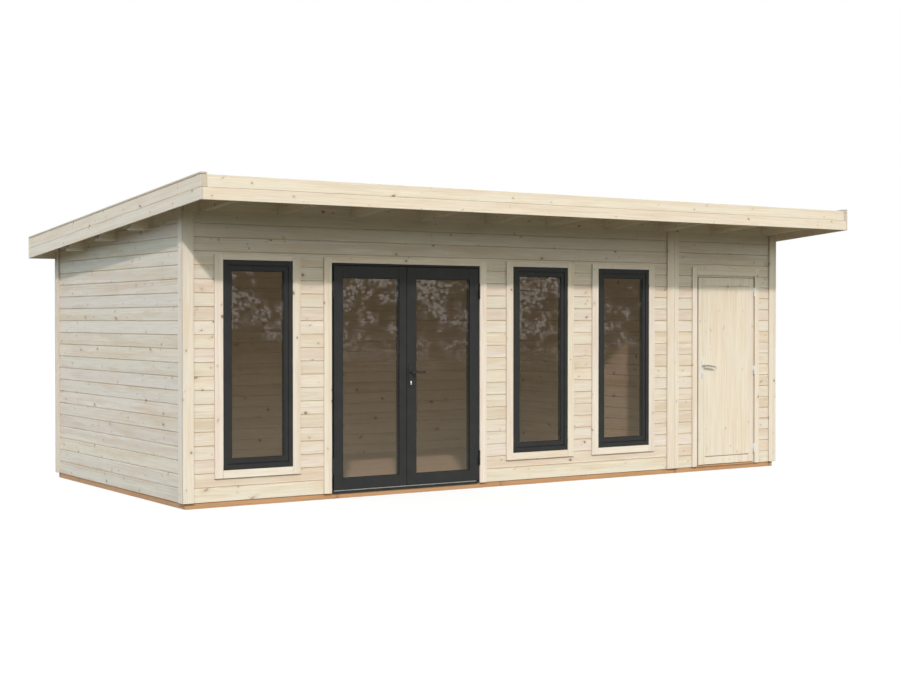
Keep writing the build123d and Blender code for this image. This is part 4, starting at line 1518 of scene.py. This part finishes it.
@dataclass
class Studio:
    """Camera, lamps, world and floor."""

    camera_at: tuple[float, float, float] = (-8.2603, -12.5342, 1.5449)
    camera_pitch: float = 89.320
    camera_turn: float = -33.572
    lens: float = 59.94
    sun_travel: tuple[float, float, float] = (0.485, 0.805, -0.609)
    sun_power: float = 1.82
    sun_angle: float = 2.4
    sun_colour: Colour = (1.0, 0.935, 0.915)
    cool_sky: Colour = (0.53, 0.65, 0.75)
    warm_sky: Colour = (0.79, 0.81, 0.73)
    back_sky: Colour = (0.66, 0.68, 0.68)
    leaves: float = 420.0
    clumps: float = 110.0
    crowns: float = 30.0
    foliage: Colour = (0.26, 0.255, 0.19)
    mirrored_ground: Colour = (0.66, 0.70, 0.62)
    floor_half: float = 60.0
    floor_bounce: Colour = (0.108, 0.11, 0.08)
    floor_shade: Colour = (0.3, 0.3, 0.3)
    floor_glow: float = 0.74

    def build(self) -> None:
        """Set everything up."""
        self.set_camera()
        self.set_sun()
        self.set_world()
        self.lay_floor()
        scene = bpy.context.scene
        scene.view_settings.view_transform = "Standard"
        scene.cycles.transparent_max_bounces = 32

    def set_camera(self) -> None:
        """Place the camera at the photograph's viewpoint."""
        data = bpy.data.cameras.new("camera")
        data.lens = self.lens
        data.sensor_width = 36.0
        camera = bpy.data.objects.new("camera", data)
        camera.location = self.camera_at
        camera.rotation_euler = (math.radians(self.camera_pitch), 0.0, math.radians(self.camera_turn))
        bpy.context.scene.collection.objects.link(camera)
        bpy.context.scene.camera = camera

    def set_sun(self) -> None:
        """Hang the sun lamp."""
        data = bpy.data.lights.new("sun", "SUN")
        data.energy = self.sun_power
        data.angle = math.radians(self.sun_angle)
        data.color = self.sun_colour
        lamp = bpy.data.objects.new("sun", data)
        lamp.rotation_euler = Vector(self.sun_travel).to_track_quat("-Z", "Y").to_euler()
        bpy.context.scene.collection.objects.link(lamp)

    def skylight(self, g: Graph, direction: Socket) -> tuple[Socket, Socket]:
        """The light of the sky: cool on the left, warm in front, and strongest low down.

        Args:
            g: The graph of the world.
            direction: The direction of the ray.

        Returns:
            Its colour and strength.
        """
        frontness = g.vector("DOT_PRODUCT", direction, (0.62, -0.78, 0.0))
        light = g.mix(g.span(frontness, -0.4, 0.8), self.cool_sky, self.warm_sky)
        behind = g.vector("DOT_PRODUCT", direction, (0.3, 0.95, 0.0))
        light = g.mix(g.span(behind, 0.1, 0.8), light, self.back_sky)
        _, _, z = g.split(direction)
        band = g.math("MULTIPLY", g.span(z, 0.02, 0.15, 0.04, 1.9), g.span(z, 0.48, 0.75, 1.0, 0.38))
        return light, band

    def reflection(self, g: Graph, direction: Socket) -> Socket:
        """What gloss mirrors: foliage with bright openings between sky and ground.

        Args:
            g: The graph of the world.
            direction: The direction of the ray.

        Returns:
            Its colour.
        """
        _, _, z = g.split(direction)
        leaves = g.node("TexVoronoi", {"Vector": direction, "Scale": self.leaves, "Randomness": 1.0})
        clump = g.noise(direction, self.clumps, 2.0)
        crown = g.noise(direction, self.crowns, 2.0)
        open_sky = g.math("MULTIPLY_ADD", crown, 0.6, g.math("MULTIPLY", clump, 0.4))
        openings = g.span(leaves.outputs["Distance"], 0.25, 0.72, 1.0, 0.0)
        gaps = g.math("MULTIPLY", openings, g.span(open_sky, 0.44, 0.56))
        gaps = g.math("MULTIPLY", gaps, g.span(z, -0.05, 0.03, 0.0, 1.9))
        ground = g.span(g.math("MULTIPLY", z, -1.0), 0.0, 0.14, 0.0, 1.0)
        dusk = g.mix(ground, self.foliage, self.mirrored_ground)
        seen = g.math("MAXIMUM", gaps, g.span(z, 0.10, 0.25), clamp=True)
        return g.mix(seen, dusk, (1.0, 1.0, 1.0))

    def set_world(self) -> None:
        """Light from the sky and mirror the foliage; the camera sees white."""
        world = bpy.data.worlds.new("sky")
        bpy.context.scene.world = world
        world.use_nodes = True
        g = Graph(world.node_tree)
        direction = g.node("TexCoord").outputs["Generated"]
        light, band = self.skylight(g, direction)
        lit = g.node("Background", {"Color": light, "Strength": band}).outputs[0]
        mirror = self.reflection(g, direction)
        mirrored = g.node("Background", {"Color": mirror, "Strength": 1.0}).outputs[0]
        white = g.node("Background", {"Color": (1.0, 1.0, 1.0), "Strength": 1.0}).outputs[0]
        path = g.node("LightPath").outputs
        camera = g.math("MAXIMUM", path["Is Camera Ray"], path["Is Transmission Ray"])
        scattered = g.node("MixShader", {0: path["Is Glossy Ray"], 1: lit, 2: mirrored}).outputs[0]
        g.end(g.node("MixShader", {0: camera, 1: scattered, 2: white}).outputs[0], "OutputWorld")

    def lay_floor(self) -> None:
        """Lay a pale floor that the camera sees as white, with the house's shadow on it."""
        half = self.floor_half
        mesh = bpy.data.meshes.new("studio_floor")
        corners = [(-half, -half, 0.0), (half, -half, 0.0), (half, half, 0.0), (-half, half, 0.0)]
        mesh.from_pydata(corners, [], [(0, 1, 2, 3)])
        floor = bpy.data.objects.new("studio_floor", mesh)
        bpy.context.scene.collection.objects.link(floor)
        material = bpy.data.materials.new("studio_floor")
        material.use_nodes = True
        mesh.materials.append(material)
        g = Graph(material.node_tree)
        path = g.node("LightPath").outputs
        bounce = g.node("BsdfDiffuse", {"Color": self.floor_bounce}).outputs[0]
        shade = g.node("BsdfDiffuse", {"Color": self.floor_shade}).outputs[0]
        glow = g.node("Emission", {"Color": (1.0, 1.0, 1.0), "Strength": self.floor_glow}).outputs[0]
        seen = g.node("AddShader", {0: shade, 1: glow}).outputs[0]
        open_to_sky = g.node("BsdfTransparent").outputs[0]
        scattered = g.node("MixShader", {0: path["Is Glossy Ray"], 1: bounce, 2: open_to_sky}).outputs[0]
        g.end(g.node("MixShader", {0: path["Is Camera Ray"], 1: scattered, 2: seen}).outputs[0])


def main() -> None:
    """Build the house from the ground up, then the studio, and log each part."""
    for part in (Base(), PlankWalls(), Trim(), Windows(), DoubleDoor(), StoreDoor(), Roof(), Studio()):
        part.build()
        log.info("built %s", type(part).__name__)


if __name__ == "__main__":
    logging.basicConfig(level=logging.INFO, format="%(name)s: %(message)s")
    main()
